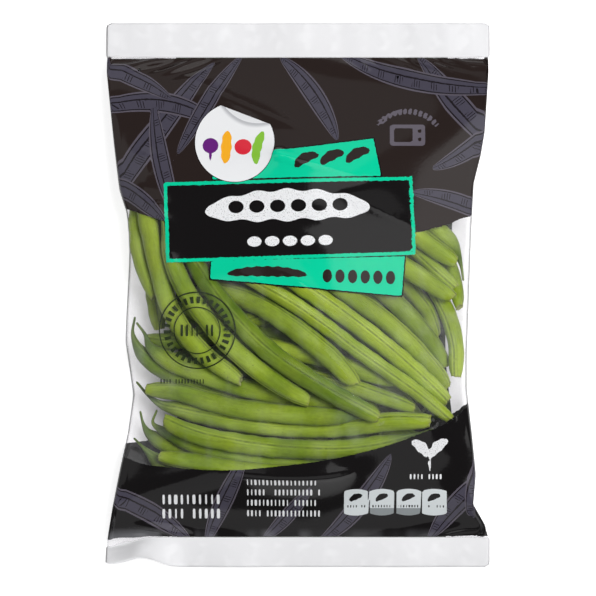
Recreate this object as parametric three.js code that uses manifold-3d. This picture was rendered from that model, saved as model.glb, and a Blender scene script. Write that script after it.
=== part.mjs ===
// A sealed clear bag holding a bundle of French beans, lying on its back with its window up.
// Millimetres. +X is across the bag, +Y runs from its foot to its header, +Z is up.
// The origin is on the surface that the bag lies on, under the middle of the bag.

import * as THREE from "three";
import { mergeVertices } from "three/addons/utils/BufferGeometryUtils.js";
import Module from "manifold-3d";

// The bag
const BAG_LENGTH = 235;
const FLAT_HALF_WIDTH = 82.5;
const HEADER_SEAL = 15;
const FOOT_SEAL = 13;
const WAIST_DRAW_IN = 8.6; // how much narrower each side is where the bag is full
const HEADER_TAPER = 86; // length over which the full width draws in, from each seal
const FOOT_TAPER = 62;
const CROWN_HEIGHT = 46;
const CROWN_RISE = 60; // length over which the top climbs from a seal to the crown
const BACK_DROP = 30; // length over which the back falls from a seal to the surface
const SIDE_FOLD_HEIGHT = 19; // height of the side folds above the surface, at the middle
const UPPER_CURVE = { across: 2.7, up: 1.8 }; // powers of the section's curve above the folds
const LOWER_CURVE = { across: 3.6, up: 1.5 }; // and below them; 2 and 2 would be an ellipse
const TOP_CLIMB = 0.62; // power of the climb from a seal to the crown; 1 starts flatter
const BACK_FALL = 0.7; // the same for the back's fall to the surface
const SEAL_HEIGHT = 12;
const SEAL_DROOP = 2.5; // the free edge of each seal hangs this much lower
const SEAL_THICKNESS = 0.9;
const FILM = 0.5;
const FLAT_BACK = 1.6; // the back's curve runs on this far below the surface, and is cut flat there
const FILM_SIDES = 36;
const FILM_SECTIONS = 24;
const END_CROWDING = 0.75; // how much closer together the sections stand near the seals
const VENT_SIDES = 10;
const VENT_RADIUS = 0.8;
const VENTS = [
  [-67, 97],
  [43, 94],
];

// The beans
const BEAN_COUNT = 59;
const GAP = 0.45; // between any two beans
const FILM_GAP = 0.9; // between a bean and the film
const BEAN_SIDES = 7;
// Where the rings of a bean stand, as shares of its length from the cut end to the tail tip,
// and how thick it is there, as shares of its full radius.
const STATIONS = [0, 0.05, 0.14, 0.27, 0.4, 0.53, 0.66, 0.77, 0.84, 0.89, 0.94, 1];
const THICKNESS = [0.7, 0.86, 0.96, 1, 1, 1, 1, 0.96, 0.78, 0.44, 0.19, 0.12];
const END_DOME = 0.4;

// The beans that show in the window. Each line runs in X and Y from the bean's cut end to the
// tip of its tail. level is its height between the back, 0, and the window, 1.
const WINDOW_BEANS = [
  {
    line: [[34.5, -52.5], [10, -38.5], [-10, -25], [-30, -6], [-45, 13], [-54, 30], [-58, 37]],
    level: 1,
    width: 9.2,
  },
  {
    line: [[23.8, -42], [19.5, -34.5], [8, -22], [-9, -9.8], [-30, -2], [-54, 1]],
    level: 0.86,
    width: 9.6,
  },
  {
    line: [[67, -52.7], [50, -40.3], [30, -27.3], [10, -12.5], [-5, -2], [-24, 9], [-40, 18]],
    level: 0.97,
    width: 7.2,
  },
  {
    line: [[66, -46.5], [50, -33], [30, -17.5], [10, -3.5], [-10, 10], [-24, 20]],
    level: 0.95,
    width: 8.7,
  },
  {
    line: [[66.5, -40], [59, -32], [40, -14.5], [20, -1], [0, 12], [-18, 24]],
    level: 0.72,
    width: 8.2,
  },
  {
    line: [[64, -31], [55, -19.5], [43, -7], [28, 6], [10, 20], [-2, 30]],
    level: 0.6,
    width: 8.2,
  },
  {
    line: [[61.5, -16.5], [57, -7], [50, 1.5], [38, 14], [22, 30], [12, 42]],
    level: 0.5,
    width: 7.8,
  },
  {
    line: [[66.3, -34.5], [66.3, -20], [63, -8], [57.5, 3], [49, 16], [38, 32], [33, 42]],
    level: 0.8,
    width: 7.6,
  },
  {
    line: [[69.3, 14.3], [60, 19.5], [48, 28], [28, 39], [5, 48], [-12, 52]],
    level: 0.94,
    width: 8.4,
  },
  {
    line: [[-8, 60], [20, 52], [45, 40], [60, 29], [67, 22.5], [71.5, 14], [73.2, 7.5]],
    level: 0.74,
    width: 8.6,
  },
  {
    line: [[68, 1.2], [60, 5.5], [50, 11], [30, 22], [5, 33], [-14, 40]],
    level: 0.86,
    width: 8.4,
  },
  {
    line: [[66.5, 2.5], [58, 12], [50, 21], [35, 35], [20, 50]],
    level: 0.92,
    width: 6.8,
  },
  {
    line: [[70.6, -6], [70, 1], [68, 9], [62, 18], [50, 34], [40, 46]],
    level: 0.45,
    width: 5.8,
  },
  {
    line: [[-22.5, -35.5], [-38, -24], [-51, -8], [-56, 5], [-61, 20], [-66, 37], [-66, 60]],
    level: 0.86,
    width: 8.4,
  },
  {
    line: [[4, -45], [-12, -35], [-30, -20], [-42, -7], [-50, 3], [-56, 14], [-62, 38]],
    level: 0.95,
    width: 8.4,
  },
  {
    line: [[-56, -13], [-60, -4], [-63, 5], [-66, 15], [-68, 26], [-69, 40], [-64, 62]],
    level: 0.42,
    width: 8.2,
  },
  {
    line: [
      [28, -47], [10, -46], [-10, -43.2], [-25, -39.7], [-45, -31.5], [-55, -26.5],
      [-62, -20.5], [-65, -14], [-68.3, -10.2],
    ],
    level: 0.56,
    width: 8.4,
  },
  {
    line: [
      [15, -48.5], [0, -47], [-20, -44.5], [-36, -41.5], [-55, -34.5], [-63, -30],
      [-69.5, -24.5], [-73.4, -17], [-73, -11],
    ],
    level: 0.6,
    width: 8.6,
  },
  {
    line: [[-64.5, -39.5], [-50, -40.8], [-30, -46.3], [-10, -48.6], [15, -50], [36, -50.5]],
    level: 0.76,
    width: 8.2,
  },
  {
    line: [
      [57, -53.5], [40, -53.7], [20, -56], [0, -56.6], [-20, -55.6], [-40, -52.3],
      [-52, -49.5], [-61, -47], [-66, -43.3], [-70.5, -38.7],
    ],
    level: 0.86,
    width: 9,
  },
  {
    line: [[-58, -55.5], [-50, -59.3], [-40, -62], [-20, -64.7], [0, -65.3], [20, -64], [58, -56.5]],
    level: 0.94,
    width: 9,
  },
  {
    line: [[-60.5, -69.7], [-45, -71], [-25, -73], [0, -73.5], [20, -72], [38, -69]],
    level: 0.82,
    width: 8,
  },
  {
    line: [
      [22, -70], [10, -71], [-10, -71], [-30, -68.5], [-45, -65.5], [-55, -61.5],
      [-61, -59], [-63.8, -56], [-62.3, -51.2],
    ],
    level: 0.68,
    width: 7.8,
  },
  {
    line: [
      [5, -78], [-20, -76], [-40, -71], [-54, -65], [-61, -61.5], [-65, -58.5],
      [-67, -55.5], [-68.9, -50.2],
    ],
    level: 0.55,
    width: 7.8,
  },
  {
    line: [[0, -85], [-25, -82], [-45, -78], [-58, -73.5], [-66, -67.5], [-71.5, -63]],
    level: 0.45,
    width: 8,
  },
  { line: [[40.5, -40.5], [30, -36], [15, -29], [-5, -23], [-40, -14]], level: 0.6, width: 7.4 },
  { line: [[50.5, -47.7], [38, -43.5], [22, -38.5], [0, -34], [-38, -25]], level: 0.46, width: 7.4 },
  {
    line: [[-59.5, -1], [-62.5, 6], [-65.5, 14], [-67, 24], [-66.5, 36], [-60, 58], [-52, 76]],
    level: 0.66,
    width: 8.2,
  },
  { line: [[-66, -24], [-55, -24], [-35, -18], [-10, -9], [15, 1], [38, 9]], level: 0.33, width: 8.6 },
];

// The beans behind them, in layers of nearly parallel beans, from the back of the bag upwards.
// slant is the angle of the layer to +X, in degrees, and reach how far its middles go in Y.
const LAYERS = [
  { count: 11, level: 0.0, slant: 6, reach: [-78, 74] },
  { count: 11, level: 0.24, slant: -24, reach: [-66, 70] },
  { count: 8, level: 0.46, slant: -38, reach: [-50, 62] },
];
const LAYER_BEAN_LENGTH = [100, 120];
const LAYER_BEAN_WIDTH = [8.2, 9.6];
const LAYER_JITTER = { slant: 7, x: 8, y: 2.5, bow: 8, hook: 5 };
const JITTER_SEED = 3.9;

// How the beans settle against each other
const SETTLE_ROUNDS = 900;
const FREE_ROUNDS = 300; // at the end, with no weight and nothing holding the window beans
const WEIGHT = 0.035; // how far a bean sinks in a round
const HOLD = 0.06; // how strongly a window bean keeps to its place in X and Y
const STIFFNESS = 0.23; // how strongly a bean keeps its own curve
const NEAR = 17.5; // segments whose middles are this much closer than their lengths may touch
const SEARCH_EVERY = 12; // rounds between two searches for them
const PUSH_LIMIT = 3; // how far the film pushes a ring back in one round

const clamp = (value, low, high) => Math.min(high, Math.max(low, value));
const mix = (a, b, share) => a + (b - a) * share;
const smooth = (share) => {
  const t = clamp(share, 0, 1);
  return t * t * (3 - 2 * t);
};

// A number from 0 to 1 that looks random and is the same in every run.
const scatter = (seed) => {
  const value = Math.sin(seed * 12.9898 + JITTER_SEED) * 43758.5453;
  return value - Math.floor(value);
};

// The bag's shape

const HEADER_END = BAG_LENGTH / 2;
const FOOT_END = -BAG_LENGTH / 2;
const HEADER_LINE = HEADER_END - HEADER_SEAL; // where the seals meet the open body
const FOOT_LINE = FOOT_END + FOOT_SEAL;

// The section of the bag across Y: half its width, the height of its side folds, and how far
// it reaches above and below them in the middle.
function section(y, inset) {
  const fromHeader = HEADER_LINE - y;
  const fromFoot = y - FOOT_LINE;
  const inside = Math.min(fromHeader, fromFoot);
  const drawnIn = smooth(fromHeader / HEADER_TAPER) * smooth(fromFoot / FOOT_TAPER);
  const fullness = smooth(inside / CROWN_RISE);
  const past = clamp(-inside / Math.max(HEADER_SEAL, FOOT_SEAL), 0, 1);
  const foldHeight = mix(SEAL_HEIGHT - SEAL_DROOP * past, SIDE_FOLD_HEIGHT, fullness);
  const climb = clamp(inside / CROWN_RISE, 0, 1);
  const fall = clamp(inside / BACK_DROP, 0, 1);
  const top = mix(foldHeight, CROWN_HEIGHT, (1 - (1 - climb) ** 2) ** TOP_CLIMB);
  const bottom = mix(foldHeight, -FLAT_BACK, (1 - (1 - fall) ** 2) ** BACK_FALL);
  return {
    halfWidth: FLAT_HALF_WIDTH - WAIST_DRAW_IN * drawnIn - inset,
    foldHeight,
    above: Math.max(top - foldHeight, SEAL_THICKNESS / 2) - inset,
    below: Math.max(foldHeight - bottom, SEAL_THICKNESS / 2) - inset,
  };
}

// A point on the section at y, at an angle round it from the +X side fold over the top.
function sectionPoint(y, angle, inset) {
  const s = section(y, inset);
  const [cos, sin] = [Math.cos(angle), Math.sin(angle)];
  const curve = sin >= 0 ? UPPER_CURVE : LOWER_CURVE;
  const x = s.halfWidth * Math.sign(cos) * Math.abs(cos) ** (2 / curve.across);
  const rise = Math.abs(sin) ** (2 / curve.up) * (sin >= 0 ? s.above : -s.below);
  return [x, y, Math.max(s.foldHeight + rise, inset)];
}

// A closed skin lofted through the sections at the given Ys, in falling order.
function loft(ys, around, inset) {
  const positions = [];
  for (const y of ys) {
    for (let k = 0; k < around; k++) {
      positions.push(...sectionPoint(y, (2 * Math.PI * (k + 0.5)) / around, inset));
    }
  }
  const middle = (y) => positions.push(0, y, section(y, inset).foldHeight) / 3 - 1;
  const first = middle(ys[0]);
  const last = middle(ys[ys.length - 1]);
  const faces = [];
  for (let k = 0; k < around; k++) {
    const next = (k + 1) % around;
    faces.push(first, next, k);
    const end = (ys.length - 1) * around;
    faces.push(last, end + k, end + next);
    for (let row = 0; row < ys.length - 1; row++) {
      const [a, b] = [row * around + k, row * around + next];
      faces.push(a, b, b + around, a, b + around, a + around);
    }
  }
  const geometry = new THREE.BufferGeometry();
  geometry.setAttribute("position", new THREE.Float32BufferAttribute(positions, 3));
  geometry.setIndex(faces);
  return geometry;
}

// Ys from one end to the other, closer together towards both ends.
function sectionYs(from, to, count) {
  return Array.from({ length: count }, (_, i) => {
    const share = i / (count - 1);
    return mix(from, to, mix(share, (1 - Math.cos(Math.PI * share)) / 2, END_CROWDING));
  });
}

// Laying and settling the beans

// One bean before it settles: its rings' middles and radii, from cut end to tail tip.
function layBean({ line, level, width }, held) {
  const path = new THREE.CatmullRomCurve3(
    line.map(([x, y]) => new THREE.Vector3(x, y, 0)),
    false,
    "centripetal",
  );
  const points = STATIONS.map((share) => path.getPointAt(share));
  const radii = THICKNESS.map((share) => (share * width) / 2);
  const mid = section(points[5].y, FILM);
  const floor = Math.max(mid.foldHeight - mid.below, FILM) + width / 2;
  const ceiling = mid.foldHeight + mid.above - width / 2;
  points.forEach((p) => (p.z = mix(floor, ceiling, level)));
  return { points, radii, held, home: points.map((p) => p.clone()) };
}

// One bean of a layer, the index-th of its count.
function layerBean(layer, index, seed) {
  const swing = (n) => 2 * scatter(seed * 7 + n) - 1;
  const slant = THREE.MathUtils.degToRad(layer.slant + LAYER_JITTER.slant * swing(1));
  const half = mix(...LAYER_BEAN_LENGTH, scatter(seed * 7 + 2)) / 2;
  const x = LAYER_JITTER.x * swing(3);
  const y = mix(...layer.reach, index / (layer.count - 1)) + LAYER_JITTER.y * swing(4);
  const way = index % 2 ? half : -half;
  const at = (along, aside) => [
    x + way * along * Math.cos(slant) - aside * Math.sin(slant),
    y + way * along * Math.sin(slant) + aside * Math.cos(slant),
  ];
  const bow = LAYER_JITTER.bow * swing(5);
  const line = [at(-1, 0), at(0, bow), at(0.85, 0), at(1, LAYER_JITTER.hook * swing(8))];
  const width = mix(...LAYER_BEAN_WIDTH, scatter(seed * 7 + 6));
  return layBean({ line, level: layer.level, width }, false);
}

// How far outside the inner face of the film a point is, roughly; less than 0 inside.
function outside(x, y, z) {
  const s = section(y, FILM);
  const up = z >= s.foldHeight;
  const curve = up ? UPPER_CURVE : LOWER_CURVE;
  const height = Math.max(up ? s.above : s.below, 0.5);
  const u = Math.abs(x) / s.halfWidth;
  const v = Math.abs(z - s.foldHeight) / height;
  return (u ** curve.across + v ** curve.up) ** (2 / (curve.across + curve.up)) - 1;
}

// Moves a ring's middle back inside the bag's film.
function keepInside(point, radius) {
  const step = 0.01;
  const { x, y, z } = point;
  const here = outside(x, y, z);
  const slope = new THREE.Vector3(
    outside(x + step, y, z) - here,
    outside(x, y + step, z) - here,
    outside(x, y, z + step) - here,
  ).divideScalar(step);
  const steepness = Math.max(slope.length(), 1e-4);
  const push = here / steepness + radius + FILM_GAP;
  if (push > 0) point.addScaledVector(slope, -Math.min(push, PUSH_LIMIT) / steepness);
  point.z = Math.max(point.z, FILM + radius + FILM_GAP);
  const reach = radius + FILM_GAP + 1;
  point.y = clamp(point.y, FOOT_LINE + reach, HEADER_LINE - reach);
}

// Where two segments, p to p + d and q to q + e, come closest, as a share of each.
function closest(p, d, q, e, gap) {
  gap.subVectors(p, q);
  const [dd, ee, de] = [d.dot(d), e.dot(e), d.dot(e)];
  const [dg, eg] = [d.dot(gap), e.dot(gap)];
  const spread = dd * ee - de * de;
  let s = spread > 1e-6 ? clamp((de * eg - ee * dg) / spread, 0, 1) : 0.5;
  const t = clamp((de * s + eg) / ee, 0, 1);
  s = clamp((de * t - dg) / dd, 0, 1);
  return [s, t];
}

// The beans' segments that may touch: pairs of [bean, segment, bean, segment].
function nearPairs(beans) {
  const pairs = [];
  const centre = (bean, i) => bean.points[i].clone().lerp(bean.points[i + 1], 0.5);
  const middles = beans.map((bean) => bean.points.slice(1).map((_, i) => centre(bean, i)));
  const halves = beans.map((bean) =>
    bean.points.slice(1).map((p, i) => p.distanceTo(bean.points[i]) / 2),
  );
  beans.forEach((_, a) => {
    for (let b = a + 1; b < beans.length; b++) {
      middles[a].forEach((p, i) => {
        middles[b].forEach((q, j) => {
          if (p.distanceTo(q) < NEAR + halves[a][i] + halves[b][j]) pairs.push([a, i, b, j]);
        });
      });
    }
  });
  return pairs;
}

// Pushes two beans apart where their segments overlap, each end by its share.
const scratch = Array.from({ length: 4 }, () => new THREE.Vector3());
function separate(beans, [a, i, b, j]) {
  const [A, B] = [beans[a], beans[b]];
  const [p, pEnd] = [A.points[i], A.points[i + 1]];
  const [q, qEnd] = [B.points[j], B.points[j + 1]];
  const [d, e, gap, way] = scratch;
  d.subVectors(pEnd, p);
  e.subVectors(qEnd, q);
  const [s, t] = closest(p, d, q, e, gap);
  way.copy(gap).addScaledVector(d, s).addScaledVector(e, -t);
  const apart = way.length();
  const wanted = mix(A.radii[i], A.radii[i + 1], s) + mix(B.radii[j], B.radii[j + 1], t) + GAP;
  if (apart >= wanted) return 0;
  if (apart < 1e-6) way.set(0, 0, 1);
  else way.divideScalar(apart);
  const [near, far] = [(1 - s) ** 2 + s ** 2, (1 - t) ** 2 + t ** 2];
  const push = (wanted - apart) / (near + far);
  p.addScaledVector(way, push * (1 - s));
  pEnd.addScaledVector(way, push * s);
  q.addScaledVector(way, -push * (1 - t));
  qEnd.addScaledVector(way, -push * t);
  return wanted - apart;
}

// Keeps a bean's length and its own curve.
function keepShape(bean, rest) {
  const { points } = bean;
  const [d] = scratch;
  for (let i = 1; i < points.length - 1; i++) {
    const span = STATIONS[i + 1] - STATIONS[i - 1];
    const share = (STATIONS[i] - STATIONS[i - 1]) / span;
    d.copy(points[i - 1]).lerp(points[i + 1], share).sub(points[i]).sub(rest.bows[i]);
    d.multiplyScalar(STIFFNESS);
    points[i].add(d);
    points[i - 1].addScaledVector(d, share - 1);
    points[i + 1].addScaledVector(d, -share);
  }
  for (let i = 0; i < points.length - 1; i++) {
    d.subVectors(points[i + 1], points[i]);
    const length = d.length();
    d.multiplyScalar((length - rest.lengths[i]) / length / 2);
    points[i].add(d);
    points[i + 1].sub(d);
  }
}

function restOf(bean) {
  const { points } = bean;
  const bows = points.map((p, i) => {
    if (i === 0 || i === points.length - 1) return new THREE.Vector3();
    const share = (STATIONS[i] - STATIONS[i - 1]) / (STATIONS[i + 1] - STATIONS[i - 1]);
    return points[i - 1].clone().lerp(points[i + 1], share).sub(p);
  });
  return { bows, lengths: points.slice(1).map((p, i) => p.distanceTo(points[i])) };
}

// Lets the beans sink, bend and push each other aside until none overlap.
function settle(beans) {
  const rests = beans.map(restOf);
  let pairs = [];
  for (let round = 0; round < SETTLE_ROUNDS; round++) {
    const free = round >= SETTLE_ROUNDS - FREE_ROUNDS;
    if (round % SEARCH_EVERY === 0) pairs = nearPairs(beans);
    beans.forEach((bean, n) => {
      bean.points.forEach((p, i) => {
        if (!free) {
          p.z -= WEIGHT;
          if (bean.held) {
            p.x += (bean.home[i].x - p.x) * HOLD;
            p.y += (bean.home[i].y - p.y) * HOLD;
          }
        }
      });
      keepShape(bean, rests[n]);
    });
    pairs.forEach((pair) => separate(beans, pair));
    beans.forEach((bean) => bean.points.forEach((p, i) => keepInside(p, bean.radii[i])));
  }
  return beans;
}

// The solid of one bean: a turned profile, bent along the line of its rings.
function beanGeometry({ points, radii }) {
  const last = points.length - 1;
  const profile = [
    new THREE.Vector2(0, -END_DOME),
    ...radii.map((radius, i) => new THREE.Vector2(radius, i)),
    new THREE.Vector2(0, last + END_DOME),
  ];
  const turned = new THREE.LatheGeometry(profile, BEAN_SIDES);
  turned.deleteAttribute("normal");
  turned.deleteAttribute("uv");
  const geometry = mergeVertices(turned);
  const ways = points.map((_, i) =>
    points[Math.min(i + 1, last)].clone().sub(points[Math.max(i - 1, 0)]).normalize(),
  );
  const up = new THREE.Vector3(0, 0, 1);
  const position = geometry.getAttribute("position");
  for (let n = 0; n < position.count; n++) {
    const height = position.getY(n);
    const ring = clamp(Math.round(height), 0, last);
    const side = new THREE.Vector3().crossVectors(ways[ring], up).normalize();
    const over = new THREE.Vector3().crossVectors(side, ways[ring]);
    const point = points[ring]
      .clone()
      .addScaledVector(side, position.getX(n))
      .addScaledVector(over, position.getZ(n))
      .addScaledVector(ways[ring], height - ring);
    position.setXYZ(n, point.x, point.y, point.z);
  }
  return geometry;
}

// The film

const wasm = await Module();
wasm.setup();

function solid(geometry) {
  const bare = geometry.clone();
  bare.deleteAttribute("normal");
  bare.deleteAttribute("uv");
  const merged = mergeVertices(bare);
  return new wasm.Manifold(
    new wasm.Mesh({
      numProp: 3,
      vertProperties: new Float32Array(merged.attributes.position.array),
      triVerts: new Uint32Array(merged.index.array),
    }),
  );
}

function geometryOf(made) {
  const mesh = made.getMesh();
  const geometry = new THREE.BufferGeometry();
  geometry.setAttribute("position", new THREE.BufferAttribute(mesh.vertProperties, 3));
  geometry.setIndex(new THREE.BufferAttribute(mesh.triVerts, 1));
  geometry.computeVertexNormals();
  return geometry;
}

// The film: one tube drawn flat at both ends, hollow between the seals, with its vent holes.
function filmGeometry() {
  const body = sectionYs(HEADER_LINE, FOOT_LINE, FILM_SECTIONS);
  const outer = solid(loft([HEADER_END, ...body, FOOT_END], FILM_SIDES, 0));
  let film = outer.subtract(solid(loft(body.slice(1, -1), FILM_SIDES, FILM)));
  for (const [x, y] of VENTS) {
    const vent = new THREE.CylinderGeometry(VENT_RADIUS, VENT_RADIUS, CROWN_HEIGHT, VENT_SIDES);
    vent.rotateX(Math.PI / 2);
    vent.translate(x, y, section(y, 0).foldHeight + CROWN_HEIGHT / 2);
    film = film.subtract(solid(vent));
  }
  return geometryOf(film);
}

// The model

const clearFilm = new THREE.MeshStandardMaterial({
  color: "#e6e6ea",
  roughness: 0.15,
  metalness: 0,
  transparent: true,
  opacity: 0.35,
});

function beanMaterial(index) {
  const green = new THREE.Color("#8fa846").lerp(new THREE.Color("#7c963a"), scatter(index + 90));
  return new THREE.MeshStandardMaterial({ color: green, roughness: 0.5, metalness: 0 });
}

function allBeans() {
  const beans = WINDOW_BEANS.map((bean) => layBean(bean, true));
  for (const layer of LAYERS) {
    for (let i = 0; i < layer.count; i++) beans.push(layerBean(layer, i, beans.length + 1));
  }
  if (beans.length !== BEAN_COUNT) throw new Error(beans.length + " beans");
  return settle(beans);
}

const bag = new THREE.Group();
const film = new THREE.Mesh(filmGeometry(), clearFilm);
film.name = "bag_film";
bag.add(film);
allBeans().forEach((bean, i) => {
  const mesh = new THREE.Mesh(beanGeometry(bean), beanMaterial(i));
  mesh.name = "bean_" + String(i + 1).padStart(2, "0");
  bag.add(mesh);
});

export default bag;
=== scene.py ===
"""The looks of a sealed bag of French beans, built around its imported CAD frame.

The bag lies on its back. +X is the picture's right, +Y points to its header, and +Z is up to the camera.
Lengths are millimetres until a mesh is made, which is in metres, as the frame is.
"""

import functools
import logging
import math
from dataclasses import dataclass, field
from enum import Enum

import bpy
import numpy as np
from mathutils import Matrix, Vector
from mathutils.bvhtree import BVHTree

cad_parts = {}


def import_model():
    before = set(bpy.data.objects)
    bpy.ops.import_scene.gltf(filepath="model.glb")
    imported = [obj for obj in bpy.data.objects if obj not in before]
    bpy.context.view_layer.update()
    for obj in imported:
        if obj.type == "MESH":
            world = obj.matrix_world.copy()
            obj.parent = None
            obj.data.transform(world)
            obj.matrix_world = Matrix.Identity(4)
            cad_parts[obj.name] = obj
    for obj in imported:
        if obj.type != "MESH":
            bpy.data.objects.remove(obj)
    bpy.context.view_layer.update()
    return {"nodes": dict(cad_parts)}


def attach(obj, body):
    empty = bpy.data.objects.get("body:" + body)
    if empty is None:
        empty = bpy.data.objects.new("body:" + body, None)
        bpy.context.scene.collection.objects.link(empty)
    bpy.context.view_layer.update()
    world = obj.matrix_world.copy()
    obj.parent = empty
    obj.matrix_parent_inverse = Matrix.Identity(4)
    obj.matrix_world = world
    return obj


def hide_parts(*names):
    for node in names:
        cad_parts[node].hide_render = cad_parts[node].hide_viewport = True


log = logging.getLogger("bean_bag")

MM = 0.001
BODY = "root"
FILM_NODE = "bag_film"
POD_NODE = "bean_"

Colour = tuple[float, float, float]
Shade = Colour | bpy.types.NodeSocket


def smooth(low: float, high: float, value: np.ndarray) -> np.ndarray:
    """Runs from 0 at low to 1 at high along the curve 3t² - 2t³.

    Args:
        low: Where the result is 0.
        high: Where the result is 1; it may be less than low.
        value: Numbers to place between the two.

    Returns:
        One number from 0 to 1 for each value.
    """
    t = np.clip((value - low) / (high - low), 0.0, 1.0)
    return t * t * (3.0 - 2.0 * t)


def bell(value: np.ndarray, width: float) -> np.ndarray:
    """A bell of height 1 round 0: e to the power of minus the square of value over width."""
    return np.exp(-((value / width) ** 2))


def mix(first: np.ndarray, second: np.ndarray, share: np.ndarray) -> np.ndarray:
    """The first where share is 0, the second where it is 1, and a straight mix between."""
    return first + (second - first) * share


def linear(red: int, green: int, blue: int) -> Colour:
    """Turns a colour as a screen shows it, 0 to 255, into the light that it stands for, 0 to 1."""
    shown = np.array([red, green, blue]) / 255.0
    return tuple(np.where(shown <= 0.04045, shown / 12.92, ((shown + 0.055) / 1.055) ** 2.4))


def unit(vectors: np.ndarray) -> np.ndarray:
    """Each vector over its own length."""
    return vectors / np.maximum(np.linalg.norm(vectors, axis=-1, keepdims=True), 1e-9)


def through(knots: np.ndarray, values: np.ndarray, at: np.ndarray) -> np.ndarray:
    """A smooth curve through values: between two knots, the cubic with the slopes of the chords round them.

    Args:
        knots: Rising places along the curve.
        values: One number or one point for each knot.
        at: Places to work out.

    Returns:
        One number or point for each place.
    """
    slopes = np.gradient(values, knots, axis=0)
    k = np.clip(np.searchsorted(knots, at, side="right") - 1, 0, len(knots) - 2)
    gap = knots[k + 1] - knots[k]
    t = (at - knots[k]) / gap
    if values.ndim > 1:
        gap, t = gap[:, None], t[:, None]
    return (
        (2 * t**3 - 3 * t**2 + 1) * values[k]
        + (t**3 - 2 * t**2 + t) * gap * slopes[k]
        + (3 * t**2 - 2 * t**3) * values[k + 1]
        + (t**3 - t**2) * gap * slopes[k + 1]
    )


def run_along(points: np.ndarray) -> np.ndarray:
    """How far along the line through the points each one lies, from 0 at the first."""
    steps = np.linalg.norm(np.diff(points, axis=0), axis=1)
    return np.concatenate([[0.0], np.cumsum(steps)])


def ring_quads(rings: int, sides: int) -> np.ndarray:
    """Makes the faces between each ring and the next.

    Args:
        rings: How many rings of points there are.
        sides: How many points each ring has; they are counted round each ring in turn.

    Returns:
        Four point numbers for each face.
    """
    ring, side = np.meshgrid(np.arange(rings - 1), np.arange(sides), indexing="ij")
    near, far = ring * sides, (ring + 1) * sides
    after = (side + 1) % sides
    return np.stack([near + side, near + after, far + after, far + side], axis=-1).reshape(-1, 4)


def mesh_object(
    name: str, points: np.ndarray, quads: np.ndarray, triangles: np.ndarray
) -> bpy.types.Object:
    """Makes a smooth mesh object that sits at the origin.

    Args:
        name: The piece's name.
        points: Points in millimetres, one row each.
        quads: Point numbers of the four-sided faces, one row each.
        triangles: Point numbers of the three-sided faces, one row each.

    Returns:
        The new object, linked to the scene.
    """
    mesh = bpy.data.meshes.new(name)
    corners = np.concatenate([quads.ravel(), triangles.ravel()]).astype(np.int32)
    sizes = np.concatenate([np.full(len(quads), 4), np.full(len(triangles), 3)])
    starts = np.concatenate([[0], np.cumsum(sizes)[:-1]]).astype(np.int32)
    mesh.vertices.add(len(points))
    mesh.loops.add(len(corners))
    mesh.polygons.add(len(sizes))
    mesh.vertices.foreach_set("co", (points * MM).astype(np.float32).ravel())
    mesh.loops.foreach_set("vertex_index", corners)
    mesh.polygons.foreach_set("loop_start", starts)
    mesh.polygons.foreach_set("use_smooth", np.ones(len(sizes), dtype=bool))
    mesh.update(calc_edges=True)
    mesh.validate()
    made = bpy.data.objects.new(name, mesh)
    bpy.context.scene.collection.objects.link(made)
    return made


def paint(piece: bpy.types.Object, name: str, values: np.ndarray) -> None:
    """Stores one number, vector or colour for each point of a piece.

    Args:
        piece: The piece, whose mesh has one point for each row.
        name: The attribute's name, which its material reads.
        values: Rows of 1, 3 or 4 numbers.
    """
    kinds = {1: ("FLOAT", "value"), 3: ("FLOAT_VECTOR", "vector"), 4: ("FLOAT_COLOR", "color")}
    kind, slot = kinds[1 if values.ndim == 1 else values.shape[1]]
    made = piece.data.attributes.new(name, kind, "POINT")
    made.data.foreach_set(slot, values.astype(np.float32).ravel())


def node_points(node: bpy.types.Object) -> tuple[np.ndarray, np.ndarray]:
    """Reads a CAD node's mesh, with the corners of its loose triangles merged.

    Args:
        node: A CAD node's object.

    Returns:
        Its points in millimetres, and three point numbers for each triangle.
    """
    mesh = node.data
    loose = np.empty(len(mesh.vertices) * 3)
    mesh.vertices.foreach_get("co", loose)
    mesh.calc_loop_triangles()
    corners = np.empty(len(mesh.loop_triangles) * 3, dtype=np.int32)
    mesh.loop_triangles.foreach_get("vertices", corners)
    rounded = np.round(loose.reshape(-1, 3) / MM, 3)
    points, place = np.unique(rounded, axis=0, return_inverse=True)
    return points, place.ravel()[corners].reshape(-1, 3)


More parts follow.
